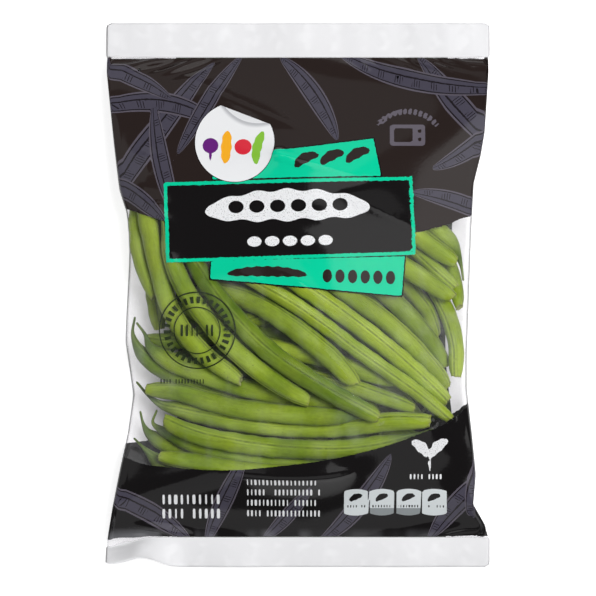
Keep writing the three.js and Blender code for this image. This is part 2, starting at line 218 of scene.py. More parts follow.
class Wire:
    """One number in a node tree, with arithmetic, so that a pattern reads as a formula."""

    def __init__(self, tree: bpy.types.NodeTree, socket: bpy.types.NodeSocket) -> None:
        """Keeps the tree and the socket that gives the number."""
        self.tree = tree
        self.socket = socket

    def math(self, operation: str, *others: "Wire | float", clamp: bool = False) -> "Wire":
        """Adds a Math node.

        Args:
            operation: Blender's name of the operation.
            others: The operation's further inputs.
            clamp: Whether the result is kept from 0 to 1.

        Returns:
            The node's result.
        """
        node = self.tree.nodes.new("ShaderNodeMath")
        node.operation = operation
        node.use_clamp = clamp
        self.tree.links.new(self.socket, node.inputs[0])
        for place, other in enumerate(others, start=1):
            if isinstance(other, Wire):
                self.tree.links.new(other.socket, node.inputs[place])
            else:
                node.inputs[place].default_value = other
        return Wire(self.tree, node.outputs[0])

    def __add__(self, other: "Wire | float") -> "Wire":
        """The sum."""
        return self.math("ADD", other)

    def __sub__(self, other: "Wire | float") -> "Wire":
        """The difference."""
        return self.math("SUBTRACT", other)

    def __mul__(self, other: "Wire | float") -> "Wire":
        """The product."""
        return self.math("MULTIPLY", other)

    def __abs__(self) -> "Wire":
        """The number without its sign."""
        return self.math("ABSOLUTE")

    def least(self, *others: "Wire | float") -> "Wire":
        """The smallest of the numbers: all of the masks, or shapes joined by their distances."""
        return functools.reduce(lambda first, other: first.math("MINIMUM", other), others, self)

    def most(self, *others: "Wire | float") -> "Wire":
        """The largest of the numbers: any of the masks."""
        return functools.reduce(lambda first, other: first.math("MAXIMUM", other), others, self)

    def below(self, limit: "Wire | float") -> "Wire":
        """1 where the number is less than the limit, else 0."""
        return self.math("LESS_THAN", limit)

    def above(self, limit: "Wire | float") -> "Wire":
        """1 where the number is more than the limit, else 0."""
        return self.math("GREATER_THAN", limit)

    def but(self, other: "Wire") -> "Wire":
        """This mask where the other mask is 0."""
        return self.math("SUBTRACT", other, clamp=True)

    def fade(self, low: float, high: float, start: float = 0.0, end: float = 1.0) -> "Wire":
        """Runs smoothly from start to end as the number goes from low to high.

        Args:
            low: Where the result is start.
            high: Where the result is end.
            start: The first result.
            end: The last result.

        Returns:
            The result of a Map Range node.
        """
        node = self.tree.nodes.new("ShaderNodeMapRange")
        node.interpolation_type = "SMOOTHSTEP"
        self.tree.links.new(self.socket, node.inputs["Value"])
        for name, value in (("From Min", low), ("From Max", high), ("To Min", start), ("To Max", end)):
            node.inputs[name].default_value = value
        return Wire(self.tree, node.outputs["Result"])


class Loom:
    """Adds the nodes of one material or group and links them."""

    def __init__(self, tree: bpy.types.NodeTree) -> None:
        """Keeps the tree that it works on."""
        self.tree = tree

    def feed(self, socket: bpy.types.NodeSocket, value: object) -> None:
        """Links an input to a Wire, a socket or a shader node, or else sets it."""
        if isinstance(value, Wire):
            value = value.socket
        if isinstance(value, bpy.types.Node):
            value = value.outputs[0]
        if isinstance(value, bpy.types.NodeSocket):
            self.tree.links.new(value, socket)
        else:
            socket.default_value = value

    def node(self, kind: str, **inputs: object) -> bpy.types.Node:
        """Adds a node and feeds its inputs.

        Args:
            kind: Blender's name of the node type.
            inputs: What each input gets, by its name, with _ for a space.

        Returns:
            The new node.
        """
        made = self.tree.nodes.new(kind)
        for name, value in inputs.items():
            self.feed(made.inputs[name.replace("_", " ")], value)
        return made

    def wire(self, kind: str, output: str, **inputs: object) -> Wire:
        """Adds a node and gives one of its outputs as a number."""
        return Wire(self.tree, self.node(kind, **inputs).outputs[output])

    def read(self, name: str, output: str = "Vector") -> bpy.types.NodeSocket:
        """Reads what an attribute of the piece holds at each point.

        Args:
            name: The attribute's name.
            output: Fac for a number, Vector for a vector or Color for a colour.

        Returns:
            The socket that gives it.
        """
        made = self.tree.nodes.new("ShaderNodeAttribute")
        made.attribute_name = name
        return made.outputs[output]

    def number(self, name: str) -> Wire:
        """The number that an attribute of the piece holds at each point."""
        return Wire(self.tree, self.read(name, "Fac"))

    def split(self, vector: bpy.types.NodeSocket) -> tuple[Wire, Wire, Wire]:
        """The three numbers of a vector."""
        made = self.node("ShaderNodeSeparateXYZ", Vector=vector)
        return tuple(Wire(self.tree, out) for out in made.outputs)

    def parts(self, name: str) -> tuple[Wire, Wire, Wire]:
        """The three numbers of a vector attribute."""
        return self.split(self.read(name))

    def noise(
        self,
        place: bpy.types.NodeSocket,
        scale: float,
        detail: float = 2.0,
        stretch: "tuple[float, float, float] | None" = None,
    ) -> Wire:
        """Cloudy noise round 0.5.

        Args:
            place: The coordinates that it reads.
            scale: How many lumps there are in one unit.
            detail: How many finer layers it adds.
            stretch: What the coordinates are multiplied by first, on each axis.

        Returns:
            The noise as a number.
        """
        if stretch:
            place = self.stretched(place, stretch)
        return self.wire(
            "ShaderNodeTexNoise", "Fac", Vector=place, Scale=scale, Detail=detail, Roughness=0.5
        )

    def stretched(
        self, place: bpy.types.NodeSocket, by: tuple[float, float, float]
    ) -> bpy.types.NodeSocket:
        """Coordinates times a factor on each axis."""
        made = self.tree.nodes.new("ShaderNodeVectorMath")
        made.operation = "MULTIPLY"
        self.feed(made.inputs[0], place)
        self.feed(made.inputs[1], by)
        return made.outputs[0]

    def blend(self, share: "Wire | float", first: Shade, second: Shade, how: str = "MIX") -> Shade:
        """Mixes two colours.

        Args:
            share: How much of the second there is.
            first: A colour, or a socket that gives one.
            second: The same for the other colour.
            how: Blender's name of the way to mix.

        Returns:
            The mixed colour's socket.
        """
        made = self.tree.nodes.new("ShaderNodeMix")
        made.data_type = "RGBA"
        made.blend_type = how
        self.feed(made.inputs[0], share)
        for place, shade in ((6, first), (7, second)):
            self.feed(made.inputs[place], (*shade, 1.0) if isinstance(shade, tuple) else shade)
        return made.outputs[2]

    def over(self, colour: Shade, *layers: tuple[Wire, Shade]) -> Shade:
        """Lays colours over a colour in turn, each as far as its mask has it."""
        for mask, shade in layers:
            colour = self.blend(mask, colour, shade)
        return colour

    def bump(self, height: Wire, depth: float) -> bpy.types.NodeSocket:
        """A normal tilted at half strength by a height, whose 0 to 1 is depth metres."""
        made = self.node("ShaderNodeBump", Height=height, Distance=depth, Strength=0.5)
        return made.outputs["Normal"]

    def mixed(
        self, share: Wire, first: bpy.types.Node, second: bpy.types.Node
    ) -> bpy.types.Node:
        """Mixes two shaders.

        Args:
            share: How much of the second there is.
            first: A shader's node.
            second: The other shader's node.

        Returns:
            The node that mixes them.
        """
        made = self.node("ShaderNodeMixShader", Fac=share)
        self.feed(made.inputs[1], first)
        self.feed(made.inputs[2], second)
        return made


def new_material(name: str) -> tuple[bpy.types.Material, Loom, bpy.types.NodeSocket]:
    """Makes an empty node material.

    Args:
        name: The material's name.

    Returns:
        The material, a Loom on its tree, and the socket that takes its shader.
    """
    made = bpy.data.materials.new(name)
    made.use_nodes = True
    made.node_tree.nodes.clear()
    output = made.node_tree.nodes.new("ShaderNodeOutputMaterial")
    return made, Loom(made.node_tree), output.inputs["Surface"]


PALE_GREEN = linear(174, 199, 54)
DEEP_GREEN = linear(88, 124, 16)
TAIL_GREEN = linear(84, 112, 74)
CUT_FLESH = linear(208, 214, 156)
CUT_RIM = linear(156, 152, 88)

# How pale each bean is that the window shows, from 0, deep green, to 1, in the CAD's order.
WINDOW_PALENESS = (
    0.12, 0.55, 0.75, 0.95, 0.62, 0.5, 0.62, 0.8, 0.6,
    0.66, 0.5, 0.55, 0.5, 0.72, 0.52, 0.6, 0.55, 0.3,
    0.5, 0.7, 0.48, 0.52, 0.34, 0.3, 0.36, 0.62, 0.55,
    0.66, 0.28,
)  # fmt: skip
# How far from the top a seam runs on those beans, in degrees.
WINDOW_SEAMS = (
    22, 35, -12, 8, 58, 70, 40, -30, 65,
    25, 48, -20, 80, 60, -42, 15, 62, 50,
    -65, 18, -8, 44, 70, -52, 30, 85, 40,
    38, -20,
)  # fmt: skip


@dataclass
class PodShape:
    """The sizes that every bean shares."""

    rings: int = 112
    sides: int = 26
    trim: float = 0.975  # of the CAD's width, because round beans need more room than faceted ones
    thinnest: float = 0.22
    seed_pitch: float = 8.5
    seed_swell: float = 0.02
    flatness: float = 0.035
    groove: float = 0.2
    groove_width: float = 0.42
    groove_lip: float = 0.07
    crowding: float = 0.3  # how much closer together the points stand at the seams
    dent: float = 0.1
    cut_rings: tuple[float, ...] = (0.35, 0.84)  # of the cut's radius, from the middle out
    cut_sink: float = 0.35
    slant: float = 0.5  # how far the cut leans, in radii
    pinch: float = 0.14  # how much narrower the pod is at the cut
    fray: float = 0.2
    end_crowding: float = 0.45  # how much closer together the rings stand at the ends
    pattern_gap: float = 37.0  # how far apart two beans lie in the patterns of the skin


@dataclass
class Pod:
    """One bean: a pod with two seams, swellings over its seeds, a trimmed end and a thin tail.

    Its skin is a ring carried along a smooth line, centre + reach * (cos a * up + sin a * aside). The reach
    is the CAD bean's own thickness there, times the swellings, less the groove of each seam.
    """

    name: str
    node: bpy.types.Object
    paleness: float
    seam: float
    seed: int
    shape: PodShape

    def __post_init__(self) -> None:
        """Reads the bean's line and thickness from its CAD node, and draws its own phases."""
        knots, centres, radii = self.read_rings()
        self.length = float(knots[-1])
        share = np.linspace(0.0, 1.0, self.shape.rings)
        crowded = 0.5 - 0.5 * np.cos(np.pi * share)
        self.along = self.length * mix(share, crowded, self.shape.end_crowding)
        self.centres = through(knots, centres, self.along)
        radii = through(knots[1:-1], radii[1:-1], np.clip(self.along, knots[1], knots[-2]))
        self.radii = np.maximum(radii * self.shape.trim, self.shape.thinnest)
        self.rng = np.random.default_rng(self.seed)
        self.phase = self.rng.uniform(0, 2 * np.pi)

    def read_rings(self) -> tuple[np.ndarray, np.ndarray, np.ndarray]:
        """Finds the CAD bean's rings by walking its mesh from one pole to the other.

        Returns:
            How far along each ring's centre lies, the centres, and the rings' radii, from the trimmed end.
        """
        points, triangles = node_points(self.node)
        pairs = np.concatenate([triangles[:, [0, 1]], triangles[:, [1, 2]], triangles[:, [2, 0]]])
        start, far = np.unique(np.concatenate([pairs, pairs[:, ::-1]]), axis=0).T
        level = np.full(len(points), -1)
        level[np.argmax(np.bincount(start))] = 0
        for step in range(len(points)):
            fresh = far[(level[start] == step) & (level[far] < 0)]
            if not len(fresh):
                break
            level[fresh] = step + 1
        count = np.bincount(level)
        centres = np.stack([np.bincount(level, points[:, k]) / count for k in range(3)], axis=1)
        radii = np.bincount(level, np.linalg.norm(points - centres[level], axis=1)) / count
        if radii[1] < radii[-2]:
            centres, radii = centres[::-1], radii[::-1]
        return run_along(centres), centres, radii

    def frame(self) -> tuple[np.ndarray, np.ndarray, np.ndarray]:
        """Directions at each ring: along the bean, up across it, and aside."""
        along = unit(np.gradient(self.centres, self.along, axis=0))
        upright = np.array([0.0, 0.0, 1.0])
        up = unit(upright - along * (along @ upright)[:, None])
        return along, up, np.cross(along, up)

    def reach(self, around: np.ndarray) -> np.ndarray:
        """How far the skin lies from the middle.

        The thickness is multiplied by 1, plus a slow wave for the seeds that is strongest aside of the
        seams, plus a flattening. A bell at each seam is the groove, and two more beside it are its lips.

        Args:
            around: Angles from the seam.

        Returns:
            One distance for each ring and each angle.
        """
        shape, along, phase = self.shape, self.along[:, None], self.phase
        share = along / self.length
        thick = self.radii[:, None]
        across = thick * np.sin(around)
        pitch = shape.seed_pitch * self.rng.uniform(0.9, 1.15)
        seeds = np.sin(2 * np.pi * along / pitch + phase) * (0.6 + 0.4 * np.sin(along * 0.11 + 2 * phase))
        seeds = seeds * smooth(0.03, 0.14, share) * smooth(0.9, 0.75, share) * (1.2 - np.cos(2 * around))
        oval = np.cos(2 * around) * smooth(0.0, 0.1, share)
        lips = bell(np.abs(across) - 2 * shape.groove_width, shape.groove_width)
        seams = shape.groove_lip * lips - shape.groove * bell(across, shape.groove_width)
        dents = shape.dent * np.sin(along * 0.37 + phase) * np.sin(2 * around + along * 0.05)
        body = smooth(0.0, 0.05, share) * smooth(0.95, 0.8, share)
        return thick * (1 + shape.seed_swell * seeds + shape.flatness * oval) + (seams + dents) * body

    def skin(self) -> tuple[np.ndarray, np.ndarray, np.ndarray]:
        """Works out the rings of the skin and of the cut face.

        Returns:
            Points ring by ring, the same points on the bean unbent, which patterns follow, and 1 for each
            ring of the cut face and 0 for the others.
        """
        shape, far = self.shape, self.along[:, None]
        even = np.arange(shape.sides) * 2 * np.pi / shape.sides
        around = even - shape.crowding * np.sin(2 * even)
        reach = self.reach(around)
        turned = around + math.radians(self.seam) + 0.25 * np.sin(2.2 * (far / self.length) + self.phase)
        reach = reach * (1 - shape.pinch * bell(far, 1.8))
        lean = shape.slant * self.rng.uniform(0.2, 1.0) * np.cos(turned + self.phase)
        lean = lean * reach * bell(far, 2.5)
        fray = shape.fray * self.rng.normal(size=shape.sides) * bell(far, 0.4)
        along, up, aside = self.frame()
        arms = np.cos(turned)[..., None] * up[:, None] + np.sin(turned)[..., None] * aside[:, None]
        points = self.centres[:, None] + reach[..., None] * arms + (lean + fray)[..., None] * along[:, None]
        far = np.broadcast_to(far, reach.shape)
        unbent = np.stack([reach * np.cos(around), reach * np.sin(around), far], axis=-1)
        part = np.array(shape.cut_rings)[:, None, None]
        sunk = shape.cut_sink * (1 - part**2) * along[0]
        cut_face, flat_face = (mix(rings[0].mean(0), rings[0], part) for rings in (points, unbent))
        cut = np.concatenate([np.ones(len(part)), np.zeros(shape.rings)])
        return np.concatenate([cut_face + sunk, points]), np.concatenate([flat_face, unbent]), cut

    def tones(self, unbent: np.ndarray, cut: np.ndarray) -> np.ndarray:
        """The skin's own colour at each point.

        Args:
            unbent: Points on the bean unbent: up and aside from its seam, and along it.
            cut: 1 on the cut face and 0 elsewhere.

        Returns:
            Colours with an alpha of 1.
        """
        along = unbent[:, 2]
        share = along / self.length
        pale = self.paleness + 0.10 * np.sin(along * 0.09 + self.phase) + 0.05 * np.sin(along * 0.31)
        colour = np.array(DEEP_GREEN)
        for amount, tint in (
            (np.clip(pale, 0.0, 1.0), PALE_GREEN),
            (0.5 * smooth(0.07, 0.0, share), PALE_GREEN),
            (0.9 * smooth(0.76, 0.92, share), TAIL_GREEN),
            (0.5 * smooth(1.2, 0.1, along), CUT_RIM),
            (cut, CUT_FLESH),
        ):
            colour = mix(colour, np.array(tint), amount[:, None])
        return np.concatenate([colour, np.ones((len(colour), 1))], axis=1)

    def build(self) -> bpy.types.Object:
        """Makes the bean's mesh with what its material reads.

        Returns:
            The bean's object.
        """
        points, unbent, cut = self.skin()
        rings, sides = points.shape[:2]
        first = rings * sides
        side = np.arange(sides)
        after = (side + 1) % sides
        last_ring = first - sides
        near_cap = np.stack([np.full(sides, first), after, side], axis=1)
        far_cap = np.stack([np.full(sides, first + 1), last_ring + side, last_ring + after], axis=1)
        ends = np.stack([points[0].mean(0), points[-1].mean(0) + self.frame()[0][-1] * self.radii[-1]])
        flat = np.concatenate([points.reshape(-1, 3), ends])
        made = mesh_object(self.name, flat, ring_quads(rings, sides), np.concatenate([near_cap, far_cap]))
        spots = np.concatenate([unbent.reshape(-1, 3), unbent[[0, -1]].mean(1)])
        cuts = np.append(np.repeat(cut, sides), [1.0, 0.0])
        paint(made, "seam", spots[:, 1])
        paint(made, "cut", cuts)
        paint(made, "tone", self.tones(spots, cuts))
        paint(made, "skin", spots + np.array([0.0, 0.0, self.shape.pattern_gap * self.seed]))
        return made


@dataclass
class PodHeap:
    """All the beans in the bag, in the CAD's places."""

    nodes: dict[str, bpy.types.Object]
    shape: PodShape = field(default_factory=PodShape)
    buried_paleness: tuple[float, float] = (0.2, 0.6)
    seed: int = 11

    def __post_init__(self) -> None:
        """Reads every bean of the frame."""
        rng = np.random.default_rng(self.seed)
        names = sorted(name for name in self.nodes if name.startswith(POD_NODE))
        self.pods = []
        for place, name in enumerate(names):
            seen = place < len(WINDOW_PALENESS)
            pale = WINDOW_PALENESS[place] if seen else rng.uniform(*self.buried_paleness)
            seam = WINDOW_SEAMS[place] if seen else rng.uniform(-90, 90)
            piece = name.replace(POD_NODE, "pod_")
            self.pods.append(Pod(piece, self.nodes[name], pale, seam, place + 1, self.shape))

    def build(self, finish: bpy.types.Material) -> list[bpy.types.Object]:
        """Makes every bean, dressed and fixed to the frame.

        Args:
            finish: The beans' material.

        Returns:
            The beans' objects.
        """
        made = []
        for pod in self.pods:
            piece = pod.build()
            piece.data.materials.append(finish)
            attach(piece, BODY)
            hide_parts(pod.node.name)
            made.append(piece)
        log.info("%d beans, %d faces each", len(made), len(made[0].data.polygons))
        return made


@dataclass
class PodField:
    """How far any place is from the nearest bean's skin, on a grid: less than 0 inside a bean."""

    pods: list[Pod]
    pitch: float = 1.5
    reach: float = 9.0  # distances are kept up to here
    step: float = 4.0  # length of the straight pieces that a bean is taken as
    thinnest: float = 1.5  # least radius, so that the grid holds the thin tails
    nowhere: float = -100.0  # how far up or down the beans reach in a column without any

    def __post_init__(self) -> None:
        """Fills the grid: each piece of a bean lowers the distances in the box round it."""
        lines = np.concatenate([pod.centres for pod in self.pods])
        self.low = lines.min(0) - self.reach
        shape = np.ceil((lines.max(0) + self.reach - self.low) / self.pitch).astype(int) + 1
        self.values = np.full(shape, self.reach)
        for pod in self.pods:
            count = max(int(pod.length / self.step), 2)
            knots = np.linspace(0.0, pod.length, count)
            centres = np.stack([np.interp(knots, pod.along, pod.centres[:, k]) for k in range(3)], axis=1)
            radii = np.maximum(np.interp(knots, pod.along, pod.radii), self.thinnest)
            for k in range(count - 1):
                self.lower(centres[k], centres[k + 1], radii[k], radii[k + 1])
        self.slopes = np.stack(np.gradient(self.values, self.pitch), axis=-1)
        heights = self.low[2] + self.pitch * np.arange(shape[2])
        self.ends = []
        for up in (1.0, -1.0):
            reached = np.where(self.values < 0, up * heights, self.nowhere).max(2)
            wider = np.pad(reached, 1, constant_values=self.nowhere)
            around = [wider[i : i + shape[0], j : j + shape[1]] for i in range(3) for j in range(3)]
            self.ends.append(up * np.min(around, axis=0))

    def lower(self, start: np.ndarray, end: np.ndarray, start_radius: float, end_radius: float) -> None:
        """Lowers the distances near a straight piece: to its axis, less a radius that runs along it.

        Args:
            start: One end of the axis.
            end: The other end.
            start_radius: The radius at the start.
            end_radius: The radius at the end.
        """
        margin = max(start_radius, end_radius) + self.reach
        low = np.floor((np.minimum(start, end) - margin - self.low) / self.pitch).astype(int)
        high = np.ceil((np.maximum(start, end) + margin - self.low) / self.pitch).astype(int)
        low = np.maximum(low, 0)
        high = np.minimum(high, self.values.shape)
        axes = [self.low[k] + self.pitch * np.arange(low[k], high[k]) for k in range(3)]
        place = np.stack(np.meshgrid(*axes, indexing="ij"), axis=-1)
        axis = end - start
        share = np.clip(((place - start) @ axis) / (axis @ axis), 0.0, 1.0)
        away = np.linalg.norm(place - start - share[..., None] * axis, axis=-1)
        away = away - mix(start_radius, end_radius, share)
        box = tuple(slice(low[k], high[k]) for k in range(3))
        self.values[box] = np.minimum(self.values[box], away)

    def end(self, places: np.ndarray, side: int) -> np.ndarray:
        """Looks up how far the beans reach, at the least, in the nearest grid column and the eight round it.

        Args:
            places: Points, in any grid shape.
            side: 0 for the beans' tops and 1 for their undersides.

        Returns:
            The height of that end at each point.
        """
        ends = self.ends[side]
        i, j = np.moveaxis(np.rint((places[..., :2] - self.low[:2]) / self.pitch).astype(int), -1, 0)
        return ends[np.clip(i, 0, ends.shape[0] - 1), np.clip(j, 0, ends.shape[1] - 1)]

    def at(self, places: np.ndarray) -> tuple[np.ndarray, np.ndarray]:
        """Looks up places: the nearest grid point's distance, carried on along its slope.

        Args:
            places: Points, in any grid shape.

        Returns:
            Each point's distance, and the direction in which it grows.
        """
        cell = np.rint((places - self.low) / self.pitch).astype(int)
        cell = np.clip(cell, 0, np.array(self.values.shape) - 1)
        i, j, k = np.moveaxis(cell, -1, 0)
        slope = self.slopes[i, j, k]
        off = places - (self.low + cell * self.pitch)
        distance = self.values[i, j, k] + (slope * off).sum(-1)
        return np.minimum(distance, self.reach), slope


# How far the bag reaches to the left and to the right of its middle, at heights up the picture.
LEFT_HEIGHTS = (-118, -105, -92, -75, -59, -43, -33, -20, -8, 13, 26, 36, 45, 65, 96, 118)
LEFT_REACH = (82.7, 82.2, 80.0, 76.7, 73.1, 70.8, 72.2, 74.3, 73.8, 72.6, 72.3, 73.8, 76.9, 79.2, 82.4, 82.2)
RIGHT_HEIGHTS = (-118, -105, -99, -90, -77, -59, -40, -25, 0, 26, 48, 60, 70, 96, 118)
RIGHT_REACH = (82.7, 82.2, 80.6, 75.4, 76.6, 74.8, 72.6, 72.6, 73.6, 74.5, 75.6, 78.7, 80.4, 82.1, 82.2)


@dataclass(frozen=True)
class Stage:
    """One round of the film's simulation, on a grid of its own."""

    columns: int  # round the tube
    rows: int  # along it, between the seals
    steps: int
    rounds: int  # of the stretch rules in each step
    air: float  # how hard air pushes the film out
    weight: float
    stiffness: float  # against bending


@dataclass
class FilmBag:
    """The bag: one tube of film, sealed flat at both ends and lying over the beans.

    The film is a grid of points, rows along the bag and columns round it from the middle of the back. It
    starts as the CAD bag's skin. Each step carries every point on at its last speed, pushes it by air and
    weight, and then pulls neighbours back to their flat distances and out of the beans and the surface.
    """

    node: bpy.types.Object
    pods: PodField
    girth: float = 331.0
    crown_run: float = 218.0
    edge_run: float = 210.0
    back_run: float = 208.0
    header_line: float = 102.5
    header_seal: float = 15.0
    foot_line: float = -104.5
    foot_seal: float = 13.0
    seal_height: float = 12.0
    seal_droop: float = 1.4
    layer_gap: float = 0.35
    clearance: float = 0.45
    buried: float = 2.0  # film that lies deeper than this in the heap is taken out of it
    floor: float = 0.15
    damping: float = 0.93
    hold: float = 0.75  # how much of a stretch one round takes back
    slant_share: float = 0.4  # how much of that it takes back on the slant
    rays_from: tuple[float, float] = (200.0, -100.0)  # heights above and below the bag
    corner: float = 2.0
    lifted_from: float = -47.0  # the foot seal's left corner curls up from here
    lifted_to: float = -72.0
    lift_angle: float = 57.0
    corner_drop: float = 4.0
    corner_from_to: tuple[float, float] = (-62.0, -82.0)  # where that corner hangs down the page
    air_from: float = 95.0  # there is no air this far up or down the bag
    air_to: float = 60.0  # and all of it here
    crease_reach: float = 0.035  # how far round from a side fold the film is held out wide
    crease_hold: tuple[float, float] = (0.1, 0.25)  # how firmly, along the body and at the header
    header_hold: tuple[float, float] = (40.0, 75.0)  # heights between which it grows firmer
    stages: tuple[Stage, ...] = (
        Stage(columns=56, rows=38, steps=260, rounds=8, air=0.030, weight=0.02, stiffness=0.35),
        Stage(columns=112, rows=76, steps=120, rounds=8, air=0.008, weight=0.01, stiffness=0.22),
        Stage(columns=224, rows=152, steps=50, rounds=8, air=0.001, weight=0.003, stiffness=0.12),
    )
    final_columns: int = 336
    final_rows: int = 226
    last_rounds: int = 4

    def run(self, columns: int) -> np.ndarray:
        """The film's flat length between the seals at each column."""
        lean = -np.cos(2 * np.pi * np.arange(columns) / columns)
        over = (self.crown_run - self.edge_run) * np.maximum(lean, 0.0)
        under = (self.back_run - self.edge_run) * np.maximum(-lean, 0.0)
        return self.edge_run + over + under

    def over(self, film: np.ndarray) -> np.ndarray:
        """How far each point lies beyond the outline on its own side, or short of it where less than 0."""
        left = np.interp(film[..., 1], LEFT_HEIGHTS, LEFT_REACH)
        right = np.interp(film[..., 1], RIGHT_HEIGHTS, RIGHT_REACH)
        return np.abs(film[..., 0]) - np.where(film[..., 0] < 0, left, right)

    def seal_edge(self, columns: int, depth: float, header: bool) -> np.ndarray:
        """One row of a seal strip, round both its layers.

        Args:
            columns: How many points the row has.
            depth: How far down the strip it lies, from 0 at the open body to 1 at the free edge.
            header: Whether it is the header's strip or the foot's.

        Returns:
            The row's points.
        """
        turn = np.arange(columns) / columns
        upper = np.abs(turn - 0.5) <= 0.25
        flat = np.where(upper, 4 * turn - 2, np.where(turn < 0.25, -4 * turn, 4 - 4 * turn))
        x = flat * self.girth / 4
        side = np.where(upper, 0.5, -0.5) * np.where(np.abs(flat) > 0.999, 0.0, 1.0)
        if header:
            seal = self.header_seal
            y = self.header_line + seal * depth + 0 * x
            wave = 0.6 * np.sin(x / 9.0 + 1.0) + 0.4 * np.sin(x / 5.2 + 2.0)
            wave = wave + 0.22 * np.sin(x / 1.9 + np.sin(x / 13.0)) * smooth(-10.0, 60.0, x)
            lift = angle = 0 * x
        else:
            seal = self.foot_seal
            lift = smooth(self.lifted_from, self.lifted_to, x)
            angle = np.radians(self.lift_angle) * lift
            drop = self.corner_drop * smooth(*self.corner_from_to, x)
            y = self.foot_line - drop - seal * depth * np.cos(angle)
            wave = 0.8 * np.sin(x / 11.0 + 4.0) + 0.5 * np.sin(x / 6.0)
        z = self.seal_height + wave * (0.4 + 0.6 * depth) - self.seal_droop * depth**2 * (1 - lift)
        z = z + seal * depth * np.sin(angle)
        into = max(depth * seal - (seal - self.corner), 0.0)
        narrowed = self.corner - math.sqrt(self.corner**2 - into**2)
        x = x * (1 - narrowed / (self.girth / 4))
        return np.stack([x, y, z + side * self.layer_gap], axis=-1)

    def pin(self, film: np.ndarray) -> None:
        """Puts the film's first and last rows on the inner edges of the two seals."""
        film[0] = self.seal_edge(film.shape[1], 0.0, header=False)
        film[-1] = self.seal_edge(film.shape[1], 0.0, header=True)

    def first_shape(self, stage: Stage) -> np.ndarray:
        """The CAD bag's skin, cut by rows of rays from above and from below.

        Args:
            stage: The grid to make.

        Returns:
            The film's points, rows by columns.
        """
        points, triangles = node_points(self.node)
        tree = BVHTree.FromPolygons(points.tolist(), triangles.tolist())
        (high, low), reach = self.rays_from, np.ceil(points[:, 0].max())
        film = np.zeros((stage.rows + 1, stage.columns, 3))
        heights = np.linspace(self.foot_line, self.header_line, stage.rows + 1)
        for row, y in enumerate(heights[1:-1], start=1):
            upper, lower = [], []
            for x in np.arange(-reach, reach + 0.5):
                top = tree.ray_cast(Vector((x, y, high)), Vector((0, 0, -1)))[0]
                bottom = tree.ray_cast(Vector((x, y, low)), Vector((0, 0, 1)))[0]
                if top is not None and bottom is not None:
                    upper.append(top)
                    lower.append(bottom)
            upper, lower = np.array(upper), np.array(lower)
            middle = len(lower) // 2
            ring = np.concatenate([lower[middle::-1], upper, lower[: middle - 1 : -1]])
            along = run_along(ring)
            at = np.arange(stage.columns) * along[-1] / stage.columns
            film[row] = np.stack([np.interp(at, along, ring[:, k]) for k in range(3)], axis=-1)
        self.pin(film)
        return film

    def finer(self, film: np.ndarray, columns: int, rows: int) -> np.ndarray:
        """The same film on a finer grid, by smooth curves through its rows and columns.

        Args:
            film: Points, rows by columns.
            columns: How many columns the new grid has.
            rows: How many spaces there are between its first and last rows.

        Returns:
            The new grid's points.
        """
        old_rows, old_columns = film.shape[:2]
        closed = np.concatenate([film[:, -3:], film, film[:, :4]], axis=1)
        places = np.arange(-3, old_columns + 4, dtype=float)
        at = np.arange(columns) * old_columns / columns
        swapped = closed.transpose(1, 0, 2).reshape(len(places), -1)
        around = through(places, swapped, at).reshape(columns, old_rows, 3).transpose(1, 0, 2)
        at = np.linspace(0, old_rows - 1, rows + 1)
        along = through(np.arange(float(old_rows)), around.reshape(old_rows, -1), at)
        return along.reshape(rows + 1, columns, 3)

    @staticmethod
    def draw(
        film: np.ndarray, up: int, aside: int, rest: np.ndarray, hold: float, spread_only: bool
    ) -> None:
        """Draws pairs of points towards their rest distance, by half of the difference each.

        Args:
            film: The points, which it moves.
            up: How many rows apart the two points of a pair are.
            aside: How many columns apart they are.
            rest: Their rest distance, or one for each column.
            hold: How much of the difference it takes back.
            spread_only: Whether it only pushes points apart.
        """
        rows = len(film) - up
        gap = np.roll(film[up:], -aside, axis=1) - film[:rows]
        share = 1 - rest / np.maximum(np.linalg.norm(gap, axis=-1), 1e-6)
        if spread_only:
            share = np.minimum(share, 0.0)
        move = gap * (0.5 * hold * share)[..., None]
        film[:rows] += move
        film[up:] -= np.roll(move, aside, axis=1)

    def keep_out(self, film: np.ndarray) -> None:
        """Moves points out of the beans, off the surface, inside the outline and off the layer below."""
        columns = film.shape[1]
        upper = np.arange(columns // 4 + 1, 3 * columns // 4)
        lower = (columns // 2 - upper) % columns
        for side, (layer, up) in enumerate(((upper, 1.0), (lower, -1.0))):
            end = self.pods.end(film[:, layer], side)
            deep = up * (end - film[:, layer, 2]) > self.buried
            film[:, layer, 2] = np.where(deep, end, film[:, layer, 2])
        distance, slope = self.pods.at(film)
        film += slope * np.maximum(self.clearance - distance, 0.0)[..., None]
        over = self.over(film)
        film[..., 0] -= 0.5 * np.sign(film[..., 0]) * np.maximum(over, 0.0)
        turn = np.arange(columns) / columns
        crease = np.abs(np.abs(turn - 0.5) - 0.25) < self.crease_reach
        pull = mix(*self.crease_hold, smooth(*self.header_hold, film[:, crease, 1]))
        film[:, crease, 0] -= pull * np.sign(film[:, crease, 0]) * np.minimum(over[:, crease], 0.0)
        short = np.maximum(self.layer_gap - (film[:, upper, 2] - film[:, lower, 2]), 0.0)
        film[:, upper, 2] += 0.5 * short
        film[:, lower, 2] -= 0.5 * short
        film[..., 2] = np.maximum(film[..., 2], self.floor)

    def outward(self, film: np.ndarray) -> np.ndarray:
        """The direction out of the bag at each point, square to its neighbours' lines."""
        around = np.roll(film, -1, axis=1) - np.roll(film, 1, axis=1)
        return unit(np.cross(around, np.gradient(film, axis=0)))

